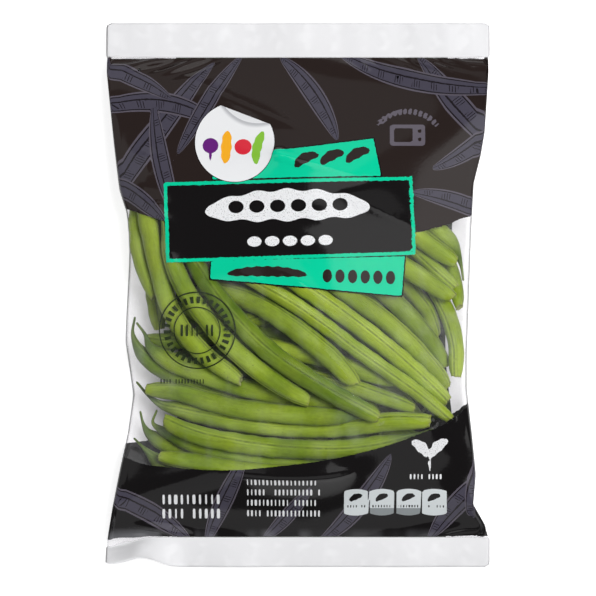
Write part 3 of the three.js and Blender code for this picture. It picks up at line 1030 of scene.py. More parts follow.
    def settle(self, film: np.ndarray, stage: Stage) -> np.ndarray:
        """Runs one stage of the simulation.

        Args:
            film: Points to start from, on the stage's grid.
            stage: The grid and the forces.

        Returns:
            The settled points.
        """
        around = self.girth / stage.columns
        along = self.run(stage.columns) / stage.rows
        slant = np.hypot(around, along)
        draws = (
            (0, 1, around, self.hold, False),
            (1, 0, along, self.hold, False),
            (1, 1, slant, self.slant_share * self.hold, False),
            (1, -1, slant, self.slant_share * self.hold, False),
            (0, 2, 2 * around, stage.stiffness, True),
            (2, 0, 2 * along, stage.stiffness, True),
        )
        held = film[[0, -1]].copy()
        last = film.copy()
        for _ in range(stage.steps):
            speed = (film - last) * self.damping
            last = film.copy()
            air = stage.air * smooth(self.air_from, self.air_to, np.abs(film[..., 1:2]))
            film = film + speed + self.outward(film) * air
            film[..., 2] -= stage.weight
            for _ in range(stage.rounds):
                for draw in draws:
                    self.draw(film, *draw)
                film[[0, -1]] = held
            self.keep_out(film)
            film[[0, -1]] = held
        return film

    def simulate(self) -> np.ndarray:
        """Runs every stage, from coarse to fine, and adds the seal strips.

        Returns:
            The film's points from the foot's free edge to the header's, rows by columns.
        """
        film = self.first_shape(self.stages[0])
        for place, stage in enumerate(self.stages):
            if place:
                film = self.finer(film, stage.columns, stage.rows)
                self.pin(film)
            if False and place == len(self.stages) - 1:
                continue
            film = self.settle(film, stage)
            log.info("film stage %d of %d columns settled", place + 1, stage.columns)
        film = self.finer(film, self.final_columns, self.final_rows)
        for _ in range(self.last_rounds):
            self.keep_out(film)
        foot, header = (
            [
                self.seal_edge(self.final_columns, depth, at_header)
                for depth in np.linspace(0, 1, int(seal) + 1)
            ]
            for seal, at_header in ((self.foot_seal, False), (self.header_seal, True))
        )
        return np.concatenate([np.stack(foot[:0:-1]), film, np.stack(header[1:])])


# Points of the printed bands' edges, from the middle of the back at -165 to where it ends again at 165.
UPPER_EDGE = (
    (-165, 42), (-100, 41), (-79, 38.5), (-70, 35.7), (-58, 31.8), (-45, 28.4), (-20, 24.5),
    (20, 24.0), (50.7, 26.7), (63, 30.0), (76, 35.0), (100, 41), (165, 42),
)  # fmt: skip
LOWER_EDGE = (
    (-165, -64), (-100, -63), (-78, -67.5), (-66, -72.5), (-54, -74), (-31, -74.8), (-9.5, -73.1),
    (14, -70), (42, -63.2), (57, -57.2), (69, -51.6), (75, -46.5), (80, -43), (100, -52),
    (165, -64),
)  # fmt: skip

# Corners of the printed shapes, counter-clockwise.
PANEL = ((-55.9, 13.8), (50.3, 17.2), (49.0, 50.7), (-57.6, 48.2))
UPPER_TAB = ((-36.6, 49.5), (35.6, 51.0), (32.3, 67.1), (-36.6, 58.1))
LOWER_TAB = ((-37.4, 6.9), (44.3, -0.4), (45.6, 16.5), (-37.0, 14.6))
DISC = (-27.1, 65.4)
DISC_RADIUS = 17.0
PEEL = (0.36, 0.93)  # the disc's edge is turned over towards here
PEEL_LINE = 12.6
STAMP = (-43.0, -15.1)
STAMP_RADII = (16.3, 9.9)
OVEN = (47.0, 68.6)
BADGES = (24.9, 36.1, 47.5, 58.5)
BADGE_HEIGHT = -89.2
BADGE_ROW = (41.8, 11.0)  # the middle and the reach of the badges' darker feet
VENTS = ((-67.0, 97.0), (43.0, 94.0))
VENT_RADIUS = 0.75

# Rows of bars: the left, bottom, right and top of their box, their pitch across and up, and their height.
BAR_ROWS = (
    ((-59.0, -97.6, -33.2, -84.6), (2.6, 6.5), 4.4),
    ((-22.4, -96.4, 9.4, -77.6), (1.7, 4.7), 2.7),
    ((47.6, -79.6, 61.8, -76.4), (1.6, 3.2), 2.2),
)
BADGE_BARS = ((20.9, BADGE_HEIGHT - 2.7, 62.7, BADGE_HEIGHT - 0.8), (1.2, 1.9), 1.1)
STAMP_BARS = (
    ((-59.4, -38.4, -40.0, -35.6), (1.3, 2.8), 1.9),
    ((STAMP[0] - 7.6, STAMP[1] - 2.9, STAMP[0] + 7.6, STAMP[1] + 2.9), (2.17, 5.8), 5.0),
)

# The leaf blades on the bands: foot, bend and tip, and the width at the middle. Blades in one layer
# keep clear of each other, and each layer lies over the one before it.
BLADES = (
    (
        ((-84, 30), (-70, 62), (-36, 101), 10.0),
        ((-8, 103), (8, 90), (17, 66), 8.5),
        ((87, 57), (71, 76), (52, 104), 9.5),
        ((-88, -82), (-70, -86), (-46, -107), 9.0),
        ((8, -108), (26, -96), (40, -68), 8.5),
        ((88, -72), (70, -82), (56, -107), 8.5),
    ),
    (
        ((-88, 76), (-62, 92), (-32, 72), 9.0),
        ((-50, 30), (-60, 52), (-62, 82), 8.0),
        ((16, 106), (40, 90), (86, 88), 9.0),
        ((90, 28), (72, 42), (48, 44), 8.0),
        ((-40, -108), (-34, -92), (-22, -68), 8.0),
        ((90, -50), (76, -64), (72, -96), 8.0),
    ),
    (
        ((-88, 52), (-72, 48), (-56, 30), 8.0),
        ((-88, 104), (-76, 98), (-54, 84), 7.5),
        ((57, 54), (72, 58), (90, 82), 8.0),
        ((-16, -107), (-6, -98), (6, -82), 6.5),
        ((-24, 104), (-34, 92), (-52, 60), 7.0),
    ),
)


@dataclass
class FilmPrint:
    """What is printed on the film, as distances from its shapes' edges at each point of the film.

    A place on the print is given as the photo shows it: across and up the front. Round the side folds the
    print runs on by the film's own length. A shape's distance is less than 0 inside it.
    """

    film: np.ndarray
    bag: FilmBag
    pods: PodField
    blur: int = 60  # rounds of smoothing, so that the print follows the film's creases
    front: float = 60.0  # how far out from the middle the print lies as the photo shows it
    turn: float = 0.93  # beyond that, how much of the film's length counts
    far: float = 9.0
    blade_knots: int = 48
    blade_fullness: float = 0.6  # a blade's half width is the bow of a sine raised to this

    def __post_init__(self) -> None:
        """Works out the print's coordinates on the film."""
        rows, columns = self.film.shape[:2]
        level = self.film[..., :2].copy()
        for _ in range(self.blur):
            level = (np.roll(level, 1, axis=1) + 2 * level + np.roll(level, -1, axis=1)) / 4
            level[1:-1] = (level[:-2] + 2 * level[1:-1] + level[2:]) / 4
        flat = (np.arange(columns) - columns // 2) * self.bag.girth / columns
        inner = np.abs(flat) <= self.front
        edge = np.flatnonzero(inner)[[0, -1]]
        left, right = (level[:, [k], 0] + (flat - flat[k]) * self.turn for k in edge)
        self.x = np.where(inner, level[..., 0], np.where(flat < 0, left, right))
        self.flat = np.broadcast_to(flat, self.x.shape)
        up = np.arange(rows)[:, None] + 0.0 * flat
        under = int(self.bag.foot_seal) - up
        over = up - (rows - 1 - int(self.bag.header_seal))
        self.y = np.where(under > 0, self.bag.foot_line - under, level[..., 1])
        self.y = np.where(over > 0, self.bag.header_line + over, self.y)
        self.strip = np.maximum(under, over)

    def polygon(self, corners: tuple) -> np.ndarray:
        """Distance from a polygon that bulges everywhere: the farthest of its sides' own distances."""
        points = np.array(corners, dtype=float)
        along = unit(np.roll(points, -1, axis=0) - points)
        return np.max(
            [(self.x - at[0]) * step[1] - (self.y - at[1]) * step[0] for at, step in zip(points, along)],
            axis=0,
        )

    def from_point(self, centre: tuple[float, float]) -> np.ndarray:
        """How far each point of the film is from a place on the print."""
        return np.hypot(self.x - centre[0], self.y - centre[1])

    def bands(self) -> np.ndarray:
        """Distance from the two dark bands, which end at the seals."""
        upper, lower = (
            through(*np.array(edge, float).T, self.x.ravel()).reshape(self.x.shape)
            for edge in (UPPER_EDGE, LOWER_EDGE)
        )
        above = np.maximum(upper - self.y, self.y - self.bag.header_line)
        return np.minimum(above, np.maximum(self.y - lower, self.bag.foot_line - self.y))

    def pod_shape(
        self, centre: tuple[float, float], size: tuple[float, float], bow: float, lean: float
    ) -> np.ndarray:
        """Distance from a flat bean: half its width is a rounded lens, swollen over each seed.

        Args:
            centre: Its middle on the print.
            size: Its length and width.
            bow: How far its middle lies above its ends.
            lean: Its turn, in degrees.

        Returns:
            The distance at each point of the film.
        """
        angle = math.radians(lean)
        x, y = self.x - centre[0], self.y - centre[1]
        along = (x * math.cos(angle) + y * math.sin(angle)) / (size[0] / 2)
        up = y * math.cos(angle) - x * math.sin(angle) - bow * (1 - along**2)
        lens = np.sqrt(np.maximum(1 - along**2, 0.0))
        half = size[1] / 2 * lens**0.8 * (1 + 0.1 * np.cos(along * size[0] / 2 * 2 * np.pi / size[1]))
        return np.where(np.abs(along) < 1, np.abs(up) - half, np.hypot(up, (np.abs(along) - 1) * size[0] / 2))

    def oval(self, centre: tuple[float, float], size: tuple[float, float]) -> np.ndarray:
        """Distance from an oval: its scaled radius less 1, times half its smaller width."""
        scaled = np.hypot((self.x - centre[0]) / (size[0] / 2), (self.y - centre[1]) / (size[1] / 2))
        return (scaled - 1) * min(size) / 2

    def row_of_ovals(
        self, count: int, first: tuple[float, float], step: tuple[float, float], size: tuple[float, float]
    ) -> np.ndarray:
        """Distance from a row of ovals.

        Args:
            count: How many there are.
            first: The first one's middle.
            step: The way from one to the next.
            size: Their width and height.

        Returns:
            The distance at each point of the film.
        """
        return np.minimum.reduce(
            [self.oval((first[0] + step[0] * k, first[1] + step[1] * k), size) for k in range(count)]
        )

    def pale_art(self) -> np.ndarray:
        """Distance from the white shapes: a long open pod on the panel, its beans, and a sprig."""
        pod = self.pod_shape((-4.5, 36.5), (70.0, 13.0), 2.0, 1.5)
        seeds = self.row_of_ovals(6, (-26.5, 37.6), (8.9, 0.23), (6.6, 5.4))
        loose = self.row_of_ovals(5, (-18.6, 22.8), (7.6, 0.16), (6.2, 4.4))
        sprig = [
            self.pod_shape((52.4, -65.8), (9.6, 4.4), -0.8, 136.0),
            self.pod_shape((60.4, -65.4), (9.6, 4.4), 0.8, 46.0),
            self.pod_shape((56.4, -71.6), (8.4, 1.2), 0.0, 90.0),
        ]
        return np.minimum.reduce([np.maximum(pod, -seeds), loose, *sprig])

    def dark_art(self) -> np.ndarray:
        """Distance from the dark shapes on the two tabs and the badges: small pods and beans."""
        upper = [self.pod_shape((3.6 + 11.0 * k, 57.4 + 1.1 * k), (11.4, 4.4), 1.2, 28.0) for k in range(3)]
        lower = self.pod_shape((-13.0, 8.8), (34.0, 4.4), 1.2, -1.0)
        beans = self.row_of_ovals(6, (12.5, 8.2), (5.4, -0.16), (4.0, 5.8))
        icons = [self.pod_shape((x, BADGE_HEIGHT + 1.9), (6.0, 2.6), 0.6, 24.0) for x in BADGES]
        return np.minimum.reduce([*upper, lower, beans, *icons])

    def crop(self) -> tuple[np.ndarray, np.ndarray, np.ndarray, np.ndarray]:
        """Distances from the disc's four vegetables: a beet, a tomato, a carrot and a pod."""
        x, y = DISC
        root = self.oval((x - 10.4, y - 5.6), (1.3, 4.6))
        beet = np.minimum(self.oval((x - 10.4, y - 1.4), (6.8, 6.6)), root)
        tomato = self.oval((x + 3.6, y - 2.0), (7.4, 6.8))
        carrot = self.pod_shape((x - 3.6, y - 2.0), (14.0, 4.4), 0.0, 86.0)
        return beet, tomato, carrot, self.pod_shape((x + 10.6, y - 2.4), (14.6, 4.0), 1.0, 78.0)

    def oven(self) -> np.ndarray:
        """Distance from the pictogram at the top right.

        It is a round-cornered box with a window and two knobs, under an arc of dashes.

        Returns:
            The distance at each point of the film.
        """
        x, y = self.x - OVEN[0], self.y - OVEN[1]
        wide, tall = np.abs(x), np.abs(y)
        box = np.hypot(np.maximum(wide - 6.4, 0.0), np.maximum(tall - 3.4, 0.0)) - 1.2
        window = np.maximum(np.abs(x + 1.8) - 4.0, tall - 3.0)
        knobs = self.row_of_ovals(2, (OVEN[0] + 5.2, OVEN[1] - 1.8), (0.0, 3.6), (1.8, 1.8))
        box = np.maximum(box, -np.minimum(window, knobs))
        arm = np.hypot(x, y + 6.0)
        turn = np.degrees(np.arctan2(x, y + 6.0))
        dash = np.abs((turn / 8.0) % 1.0 - 0.5) * 8.0 * arm * math.pi / 180 - 0.75
        arc = np.maximum.reduce([np.abs(arm - 16.4) - 1.3, dash, (np.abs(turn) - 52.0) * 0.3])
        return np.minimum(box, arc)

    def badges(self) -> np.ndarray:
        """Distance from the four pale badges: boxes with bulging tops and bottoms."""
        tall = np.abs(self.y - BADGE_HEIGHT)
        wides = [np.abs(self.x - x) for x in BADGES]
        return np.minimum.reduce(
            [np.maximum(wide - 5.1, tall - (5.9 - 0.9 * (wide / 5.1) ** 2)) for wide in wides]
        )

    def blades(self, layer: tuple) -> np.ndarray:
        """The nearest blade's own coordinates at each point of the film.

        Args:
            layer: The blades, each a curve with one bend, which keep clear of each other.

        Returns:
            How far along the blade, how far across in half widths, and that number without its sign.
        """
        best = np.full(self.x.shape, self.far)
        along, across = np.zeros(self.x.shape), np.full(self.x.shape, self.far)
        share = np.linspace(0.0, 1.0, self.blade_knots)[:, None]
        for *ends, width in layer:
            foot, bend, tip = np.array(ends, float)
            curve = (1 - share) ** 2 * foot + 2 * share * (1 - share) * bend + share**2 * tip
            low, high = curve.min(0) - width, curve.max(0) + width
            near = (self.x > low[0]) & (self.x < high[0]) & (self.y > low[1]) & (self.y < high[1])
            gap = np.stack([self.x[near], self.y[near]], axis=-1)[:, None] - curve
            k = np.argmin((gap**2).sum(-1), axis=1)
            step = unit(np.gradient(curve, axis=0))[k]
            off = gap[np.arange(len(k)), k]
            far = run_along(curve)
            at = far[k] + (off * step).sum(-1)
            aside = step[:, 0] * off[:, 1] - step[:, 1] * off[:, 0]
            bow = np.sin(np.pi * np.clip(at / far[-1], 0.0, 1.0)) ** self.blade_fullness
            side = np.clip(aside / np.maximum(0.5 * width * bow, 0.05), -self.far, self.far)
            closer = np.abs(side) < best[near]
            for target, value in ((best, np.abs(side)), (along, at), (across, side)):
                target[near] = np.where(closer, value, target[near])
        return np.stack([along, across, best], axis=-1)

    def store(self, piece: bpy.types.Object) -> None:
        """Stores on the film's mesh all that its material reads.

        Args:
            piece: The film's object.
        """
        behind = np.where(np.abs(self.flat) < self.bag.girth / 4, 0.0, self.far * 4) + 0.0 * self.x
        tabs = np.minimum(self.polygon(UPPER_TAB), self.polygon(LOWER_TAB))
        vents = np.minimum(*(self.from_point(vent) for vent in VENTS))
        disc, stamp = self.from_point(DISC), self.from_point(STAMP)
        beet, tomato, carrot, pod = self.crop()
        lift = self.pods.at(self.film)[0]
        stored = {
            "place": (self.x, self.y, behind),
            "shapes": (self.bands(), self.polygon(PANEL) + behind, tabs + behind),
            "rounds": (disc + behind, stamp + behind, vents + behind),
            "arts": (self.pale_art() + behind, self.dark_art() + behind, self.badges() + behind),
            "film": (lift, self.strip, self.bag.girth / 2 - np.abs(self.flat)),
            "crop": (beet + behind, tomato + behind, carrot + behind),
        }
        for name, values in stored.items():
            paint(piece, name, np.stack(values, -1).reshape(-1, 3))
        paint(piece, "pod", (pod + behind).ravel())
        paint(piece, "oven", (self.oven() + behind).ravel())
        for place, layer in enumerate(BLADES):
            paint(piece, f"blades_{place}", self.blades(layer).reshape(-1, 3))


def speckle_group() -> bpy.types.NodeTree:
    """Builds the speckles that skins and inks share: fine noise over coarse noise, from 0 to 1.

    Returns:
        The node group, with the inputs Vector, Scale and Contrast and the output Value.
    """
    tree = bpy.data.node_groups.new("speckle", "ShaderNodeTree")
    for name, way, kind in (
        ("Vector", "INPUT", "NodeSocketVector"),
        ("Scale", "INPUT", "NodeSocketFloat"),
        ("Contrast", "INPUT", "NodeSocketFloat"),
        ("Value", "OUTPUT", "NodeSocketFloat"),
    ):
        tree.interface.new_socket(name, in_out=way, socket_type=kind)
    given, taken = tree.nodes.new("NodeGroupInput"), tree.nodes.new("NodeGroupOutput")
    loom = Loom(tree)
    scale, contrast = (Wire(tree, given.outputs[name]) for name in ("Scale", "Contrast"))
    coarse = loom.noise(given.outputs["Vector"], scale, 1.0)
    fine = loom.noise(given.outputs["Vector"], scale * 3.7)
    spread = (coarse * 0.6 + fine * 0.4 - 0.5) * contrast + 0.5
    loom.feed(taken.inputs["Value"], spread.math("ADD", 0.0, clamp=True))
    return tree


def speckle(
    loom: Loom, group: bpy.types.NodeTree, place: bpy.types.NodeSocket, scale: float, contrast: float
) -> Wire:
    """Places the speckle group in a material.

    Args:
        loom: The material's loom.
        group: The speckle group.
        place: The coordinates that it reads.
        scale: How many coarse lumps there are in one unit.
        contrast: How far the value swings round 0.5.

    Returns:
        The group's value.
    """
    made = loom.tree.nodes.new("ShaderNodeGroup")
    made.node_tree = group
    for name, value in (("Vector", place), ("Scale", scale), ("Contrast", contrast)):
        loom.feed(made.inputs[name], value)
    return Wire(loom.tree, made.outputs["Value"])


@dataclass(frozen=True)
class PodFinish:
    """The satin skin of a bean, with fine fibres along it, two seams with painted shade in and beside them,
    and a fibrous cut face.
    """

    # The dark line along each seam's groove is painted shade: seam_line sets its width and seam_shade its
    # strength.
    seam_line: float = 0.24
    seam_band: float = 0.8
    seam_shade: float = 0.6
    seam_side: float = 1.35  # a soft line of painted shade runs this far aside of each seam, beside its raised lips
    side_shade: float = 0.3
    roughness: float = 0.42
    cut_roughness: float = 0.8
    sheen: float = 0.06
    bloom_share: float = 0.16  # how much paler the waxy bloom makes the skin
    ripe: Colour = linear(188, 206, 64)
    scar: Colour = linear(78, 92, 34)
    seam_edge: Colour = linear(206, 218, 112)
    # the colour of the painted shade beside each seam's lips
    side: Colour = linear(74, 98, 22)
    # the colour of the painted shade in each seam's groove
    seam: Colour = linear(66, 84, 24)
    bloom: Colour = linear(196, 214, 160)
    pith: Colour = linear(168, 172, 104)

    def build(self, group: bpy.types.NodeTree) -> bpy.types.Material:
        """Makes the material.

        Args:
            group: The speckle group.

        Returns:
            The beans' material.
        """
        made, loom, surface = new_material("bean_skin")
        skin, cut, seam = loom.read("skin"), loom.number("cut"), abs(loom.number("seam"))
        fibres = speckle(loom, group, loom.stretched(skin, (1.0, 1.0, 0.09)), 1.5, 1.6)
        clouds = loom.noise(skin, 0.16, 3.0, stretch=(1.0, 1.0, 0.35))
        blotches = loom.noise(skin, 0.55)
        line = seam.fade(self.seam_line, self.seam_line * 2.2, 1.0, 0.0)
        band = seam.fade(self.seam_band, self.seam_band * 1.9, 1.0, 0.0)
        shade = fibres * 0.36 + clouds * 0.7 + blotches * 0.34 + 0.3
        grey = loom.node("ShaderNodeCombineColor", Red=shade, Green=shade, Blue=shade * 0.94)
        ripe = loom.noise(skin, 0.045).fade(0.35, 0.7) * 0.3
        tone = loom.blend(ripe, loom.read("tone", "Color"), self.ripe)
        # painted shade beside each seam's lips, as strong as side_shade has it
        side = abs(seam - self.seam_side).fade(0.0, 0.4, 1.0, 0.0) * self.side_shade
        scar = loom.noise(skin, 1.1, 1.0).fade(0.66, 0.74) * clouds.fade(0.5, 0.6) * 0.5
        tone = loom.over(
            loom.blend(1.0, tone, grey.outputs[0], "MULTIPLY"),
            (scar, self.scar),
            (band * clouds.fade(0.35, 0.65) * 0.14, self.seam_edge),
            # painted shade beside each seam's lips
            (side * clouds.fade(0.3, 0.6), self.side),
            # painted shade along each seam's groove
            (line * blotches.fade(0.3, 0.6, 0.35, 1.0) * self.seam_shade, self.seam),
            ((clouds.fade(0.45, 0.75) * self.bloom_share).but(cut), self.bloom),
        )
        grain = speckle(loom, group, skin, 2.6, 2.0)
        shader = loom.node(
            "ShaderNodeBsdfPrincipled",
            Base_Color=loom.blend(cut, tone, loom.blend(grain * 0.6, tone, self.pith)),
            Roughness=(blotches * 0.14 + self.roughness).most(cut * self.cut_roughness),
            Normal=loom.bump(fibres * 0.5 + blotches * 0.5 + cut * grain, 0.00018),
            IOR=1.42,
            Sheen_Weight=self.sheen,
            Coat_Weight=0.1,
            Coat_Roughness=0.3,
        )
        loom.feed(surface, shader)
        return made


@dataclass(frozen=True)
class FilmFinish:
    """Clear film with opaque inks on it, hazy where it stands off the beans and milky at the seals."""

    ink: Colour = linear(40, 31, 29)
    lower_ink: Colour = linear(18, 16, 17)
    # painted shade: the hidden back panel's ink, dark green so that through gaps between the beans it shows
    # as the shade of beans behind
    back: Colour = linear(44, 58, 30)
    blade: Colour = linear(72, 69, 82)
    blade_rim: Colour = linear(98, 92, 102)
    blade_line: Colour = linear(32, 28, 33)
    teal: Colour = linear(2, 207, 158)
    white: Colour = linear(240, 241, 243)
    badge: Colour = linear(216, 222, 224)
    badge_lens: Colour = linear(140, 146, 148)
    stamp: Colour = linear(40, 52, 30)
    haze: Colour = linear(248, 248, 250)
    beet: Colour = linear(104, 36, 124)
    tomato: Colour = linear(222, 44, 62)
    carrot: Colour = linear(252, 178, 40)
    leaf: Colour = linear(136, 196, 60)
    peel: Colour = linear(176, 177, 182)
    clear: Colour = (0.92, 0.915, 0.925)  # the share of each light that one layer of film lets through
    steep: Colour = (0.8, 0.795, 0.815)  # the same where it is seen edge on
    mirrored: float = 0.05  # the share of light that the clear film mirrors where it is seen square on
    milk: float = 0.86  # how much of the seals' light is milky
    frame: float = 1.45  # the teal line's width
    shadow: float = 0.55  # how far the dark line round the tabs reaches
    ragged: float = 0.9
    stamp_cover: float = 0.93

    def blades_over(self, loom: Loom, colour: Shade, layer: int, rough: Wire) -> Shade:
        """Draws one layer of leaf blades over a colour, each with a rim, a rib and rows of ticks.

        Args:
            loom: The material's loom.
            colour: The colour under the blades.
            layer: Which layer of blades.
            rough: Speckles that break up the printed lines.

        Returns:
            The colour with the blades.
        """
        along, across, out = loom.parts(f"blades_{layer}")
        inside = out.below(1.0)
        tick = (along * 0.95 + across * 0.6).math("FRACT").below(0.3)
        stretch = (along * 0.13 + 0.3 * layer).math("FRACT").below(0.45)
        return loom.over(
            colour,
            (inside, self.blade),
            (inside.least(out.above(0.84)) * 0.7, self.blade_rim),
            (inside.least(abs(out - 0.78).below(0.06)), self.blade_line),
            (inside.least(abs(across - 0.22).below(rough * 0.1 + 0.03)), self.blade_line),
            (inside.least(tick, stretch, abs(across + 0.25).below(rough * 0.5 + 0.1)), self.blade_line),
        )

    @staticmethod
    def rows(loom: Loom, place: tuple[Wire, Wire, Wire], box: tuple, pitch: tuple, height: float) -> Wire:
        """Rows of small bars with round corners in a box on the print, each as wide as chance has it.

        Args:
            loom: The material's loom.
            place: The print's coordinates.
            box: The box's left, bottom, right and top.
            pitch: How far apart the bars are, across and up.
            height: A bar's height.

        Returns:
            1 on the bars of the film's front and 0 elsewhere.
        """
        x, y = place[0] - box[0], place[1] - box[1]
        inside = x.above(0.0).least(x.below(box[2] - box[0]), y.above(0.0), y.below(box[3] - box[1]))
        across, up = x * (1 / pitch[0]), y * (1 / pitch[1])
        cell = loom.node("ShaderNodeCombineXYZ", X=across.math("FLOOR"), Y=up.math("FLOOR"))
        width = loom.wire("ShaderNodeTexWhiteNoise", "Value", Vector=cell.outputs[0])
        across = (across.math("FRACT") - 0.5).math("DIVIDE", width * 0.2 + 0.11)
        up = (up.math("FRACT") - 0.5) * (2 * pitch[1] / height)
        bar = (across.math("POWER", 4.0) + up.math("POWER", 4.0)).below(1.0)
        return inside.least(bar, width.above(0.12), place[2].below(1.0))

    def disc_layers(self, loom: Loom, place: tuple[Wire, Wire, Wire], disc: Wire) -> list[tuple[Wire, Shade]]:
        """The white disc, whose edge is turned over at one side, with its vegetables.

        Args:
            loom: The material's loom.
            place: The print's coordinates.
            disc: How far each place is from the disc's middle.

        Returns:
            The layers from the bottom up, the second of which is the disc itself.
        """
        x, y = place[0] - DISC[0], place[1] - DISC[1]
        up, aside = x * PEEL[0] + y * PEEL[1], x * PEEL[1] - y * PEEL[0]
        kept = up.below(PEEL_LINE)
        on_disc = disc.below(DISC_RADIUS).least(kept)
        curl = up - aside * aside * 0.03
        marks = (*loom.parts("crop"), loom.number("pod"))
        shades = (self.beet, self.tomato, self.carrot, self.leaf)
        return [
            (disc.below(DISC_RADIUS + 0.3).least(kept), self.lower_ink),
            (on_disc, self.white),
            (on_disc.least(curl.fade(PEEL_LINE - 5.0, PEEL_LINE - 3.0)) * 0.8, self.peel),
            (on_disc.least(curl.above(PEEL_LINE - 2.6)) * 0.8, self.white),
            *((mark.below(0.0), shade) for mark, shade in zip(marks, shades)),
        ]

    def colours(self, loom: Loom, group: bpy.types.NodeTree) -> tuple[Shade, Wire]:
        """Lays the printed shapes over each other, from the bands up.

        Args:
            loom: The material's loom.
            group: The speckle group.

        Returns:
            The print's colour, and 1 where there is opaque ink.
        """
        x, y, back = place = loom.parts("place")
        where = loom.read("place")
        rough = speckle(loom, group, where, 0.6, 1.7)
        worn = speckle(loom, group, where, 2.4, 2.6)
        wave = (rough - 0.5) * (x.fade(44.0, 49.0, 0.5, 1.4) * self.ragged)
        bands, panel, tabs = loom.parts("shapes")
        disc, stamp, vents = loom.parts("rounds")
        pale, dark, badges = loom.parts("arts")
        _, strip, lap = loom.parts("film")
        colour = loom.blend(y.below(-20.0), self.ink, self.lower_ink)
        for layer in range(len(BLADES)):
            colour = self.blades_over(loom, colour, layer, rough)
        tabs, band = tabs + wave, (bands + wave).below(0.0)
        tab, shadow, panelled = tabs.below(0.0), tabs.below(self.shadow), (panel + wave).below(0.0)
        drawn = (pale + wave * 0.3).below(0.0).least(worn.above(0.24)).but(tab.but(panelled))
        bars = [self.rows(loom, place, *rows) for rows in BAR_ROWS]
        badge = badges.below(0.0)
        lens = badge.least(abs(x - BADGE_ROW[0]).below(BADGE_ROW[1]), y.below(BADGE_HEIGHT - 2.6))
        fine = badge.least((badges + 0.9).below(0.0), self.rows(loom, place, *BADGE_BARS))
        disc_layers = self.disc_layers(loom, place, disc)
        # the back panel, whose dark green ink is painted shade seen through gaps between the beans
        behind = lap.below(2.0).most(x.above(99.0), x.below(-110.0)).least(back.above(1.0), strip.below(0.0))
        # pale grey noise patches on the lower band just above the foot seal, strongest at the left
        foot_pale_patches = loom.noise(where, 0.05, stretch=(1.0, 0.2, 1.0)).fade(0.45, 0.6)
        foot_pale_patches = foot_pale_patches * y.fade(-104.0, -100.0, 0.3, 0.0) * band * x.fade(-30.0, 20.0, 1.0, 0.3)
        opaque = band.most(shadow, panelled, disc_layers[1][0], behind)
        marks = self.stamp_ink(loom, place, stamp).but(opaque)
        colour = loom.over(
            colour,
            (shadow, self.lower_ink),
            (tab, self.teal),
            (tab.least((dark + wave * 0.4).below(0.0)), self.ink),
            (panelled, self.teal),
            ((panel + wave * 1.4).below(-self.frame), self.lower_ink),
            (drawn.most(*bars), self.white),
            (loom.number("oven").below(0.0), self.blade_rim),
            (badge, self.badge),
            (badge.least(dark.below(0.0)), self.lower_ink),
            (lens, self.badge_lens),
            (fine, self.lower_ink),
            *disc_layers,
            # dark green painted shade on the back panel
            (behind.but(band), self.back),
            (foot_pale_patches, self.peel),
            (marks, self.stamp),
        )
        return colour, opaque.most(marks * self.stamp_cover).but(vents.below(VENT_RADIUS))

    def stamp_ink(self, loom: Loom, place: tuple[Wire, Wire, Wire], stamp: Wire) -> Wire:
        """The stamp on the window: two thin rings with a row of dashes between them, and rows of bars.

        Args:
            loom: The material's loom.
            place: The print's coordinates.
            stamp: How far each place is from the stamp's middle.

        Returns:
            1 on the stamp's lines and 0 elsewhere.
        """
        x, y, back = place
        outer, inner = STAMP_RADII
        turn = (y - STAMP[1]).math("ARCTAN2", x - STAMP[0])
        dashes = (turn * (15 / math.pi)).math("FRACT").below(0.5)
        dashes = dashes.least(abs(stamp - (outer + inner) / 2).below(1.4))
        rings = abs(stamp - outer).below(0.3).most(abs(stamp - inner).below(0.24))
        bars = [self.rows(loom, place, *rows) for rows in STAMP_BARS]
        return rings.most(dashes, *bars).least(back.below(1.0))

    def build(self, group: bpy.types.NodeTree) -> bpy.types.Material:
        """Makes the material.

        Args:
            group: The speckle group.

        Returns:
            The film's material.
        """
        made, loom, surface = new_material("printed_film")
        where = loom.read("place")
        colour, opaque = self.colours(loom, group)
        lift, strip, lap = loom.parts("film")
        sealed = strip.fade(-0.4, 0.6)
        crimp = (loom.parts("place")[0] * 0.55).math("SINE") * 0.5 + 0.5
        crimp = crimp * strip.fade(1.5, 4.0) * loom.noise(where, 0.14, 1.0).fade(0.4, 0.65)
        facing = loom.wire("ShaderNodeLayerWeight", "Facing")
        slope = facing.fade(0.15, 0.85)
        fog = loom.noise(where, 0.09, 3.0).fade(0.42, 0.66, 0.25, 1.0)
        streaks = loom.noise(where, 1.0, 3.0, stretch=(0.16, 0.035, 1.0)).fade(0.5, 0.75) * 0.035
        haze = lift.fade(0.2, 7.0, 0.005, 0.07) * fog + slope * 0.12 + lap.fade(6.0, 5.4, 0.0, 0.14) + streaks
        haze = haze.most(sealed * (crimp * 0.08 + self.milk)).but(loom.parts("rounds")[2].below(VENT_RADIUS))
        grain = loom.noise(where, 0.8)
        normal = loom.bump(grain * 0.25 + crimp * sealed, 0.00012)
        milky, inked = (
            loom.node("ShaderNodeBsdfPrincipled", Base_Color=base, Roughness=rough, Normal=normal, IOR=1.5)
            for base, rough in (
                ((*self.haze, 1.0), grain * 0.1 + sealed * 0.2 + 0.2),
                (colour, grain * 0.06 + 0.07),
            )
        )
        passed = loom.blend(slope, self.clear, self.steep)
        nothing = loom.node("ShaderNodeBsdfTransparent", Color=passed)
        mirror = loom.node("ShaderNodeBsdfGlossy", Roughness=0.1, Normal=normal)
        bounce = facing.math("POWER", 5.0) * (1 - self.mirrored) + self.mirrored
        window = loom.mixed(haze, loom.mixed(bounce, nothing, mirror), milky)
        loom.feed(surface, loom.mixed(opaque, window, inked))
        return made


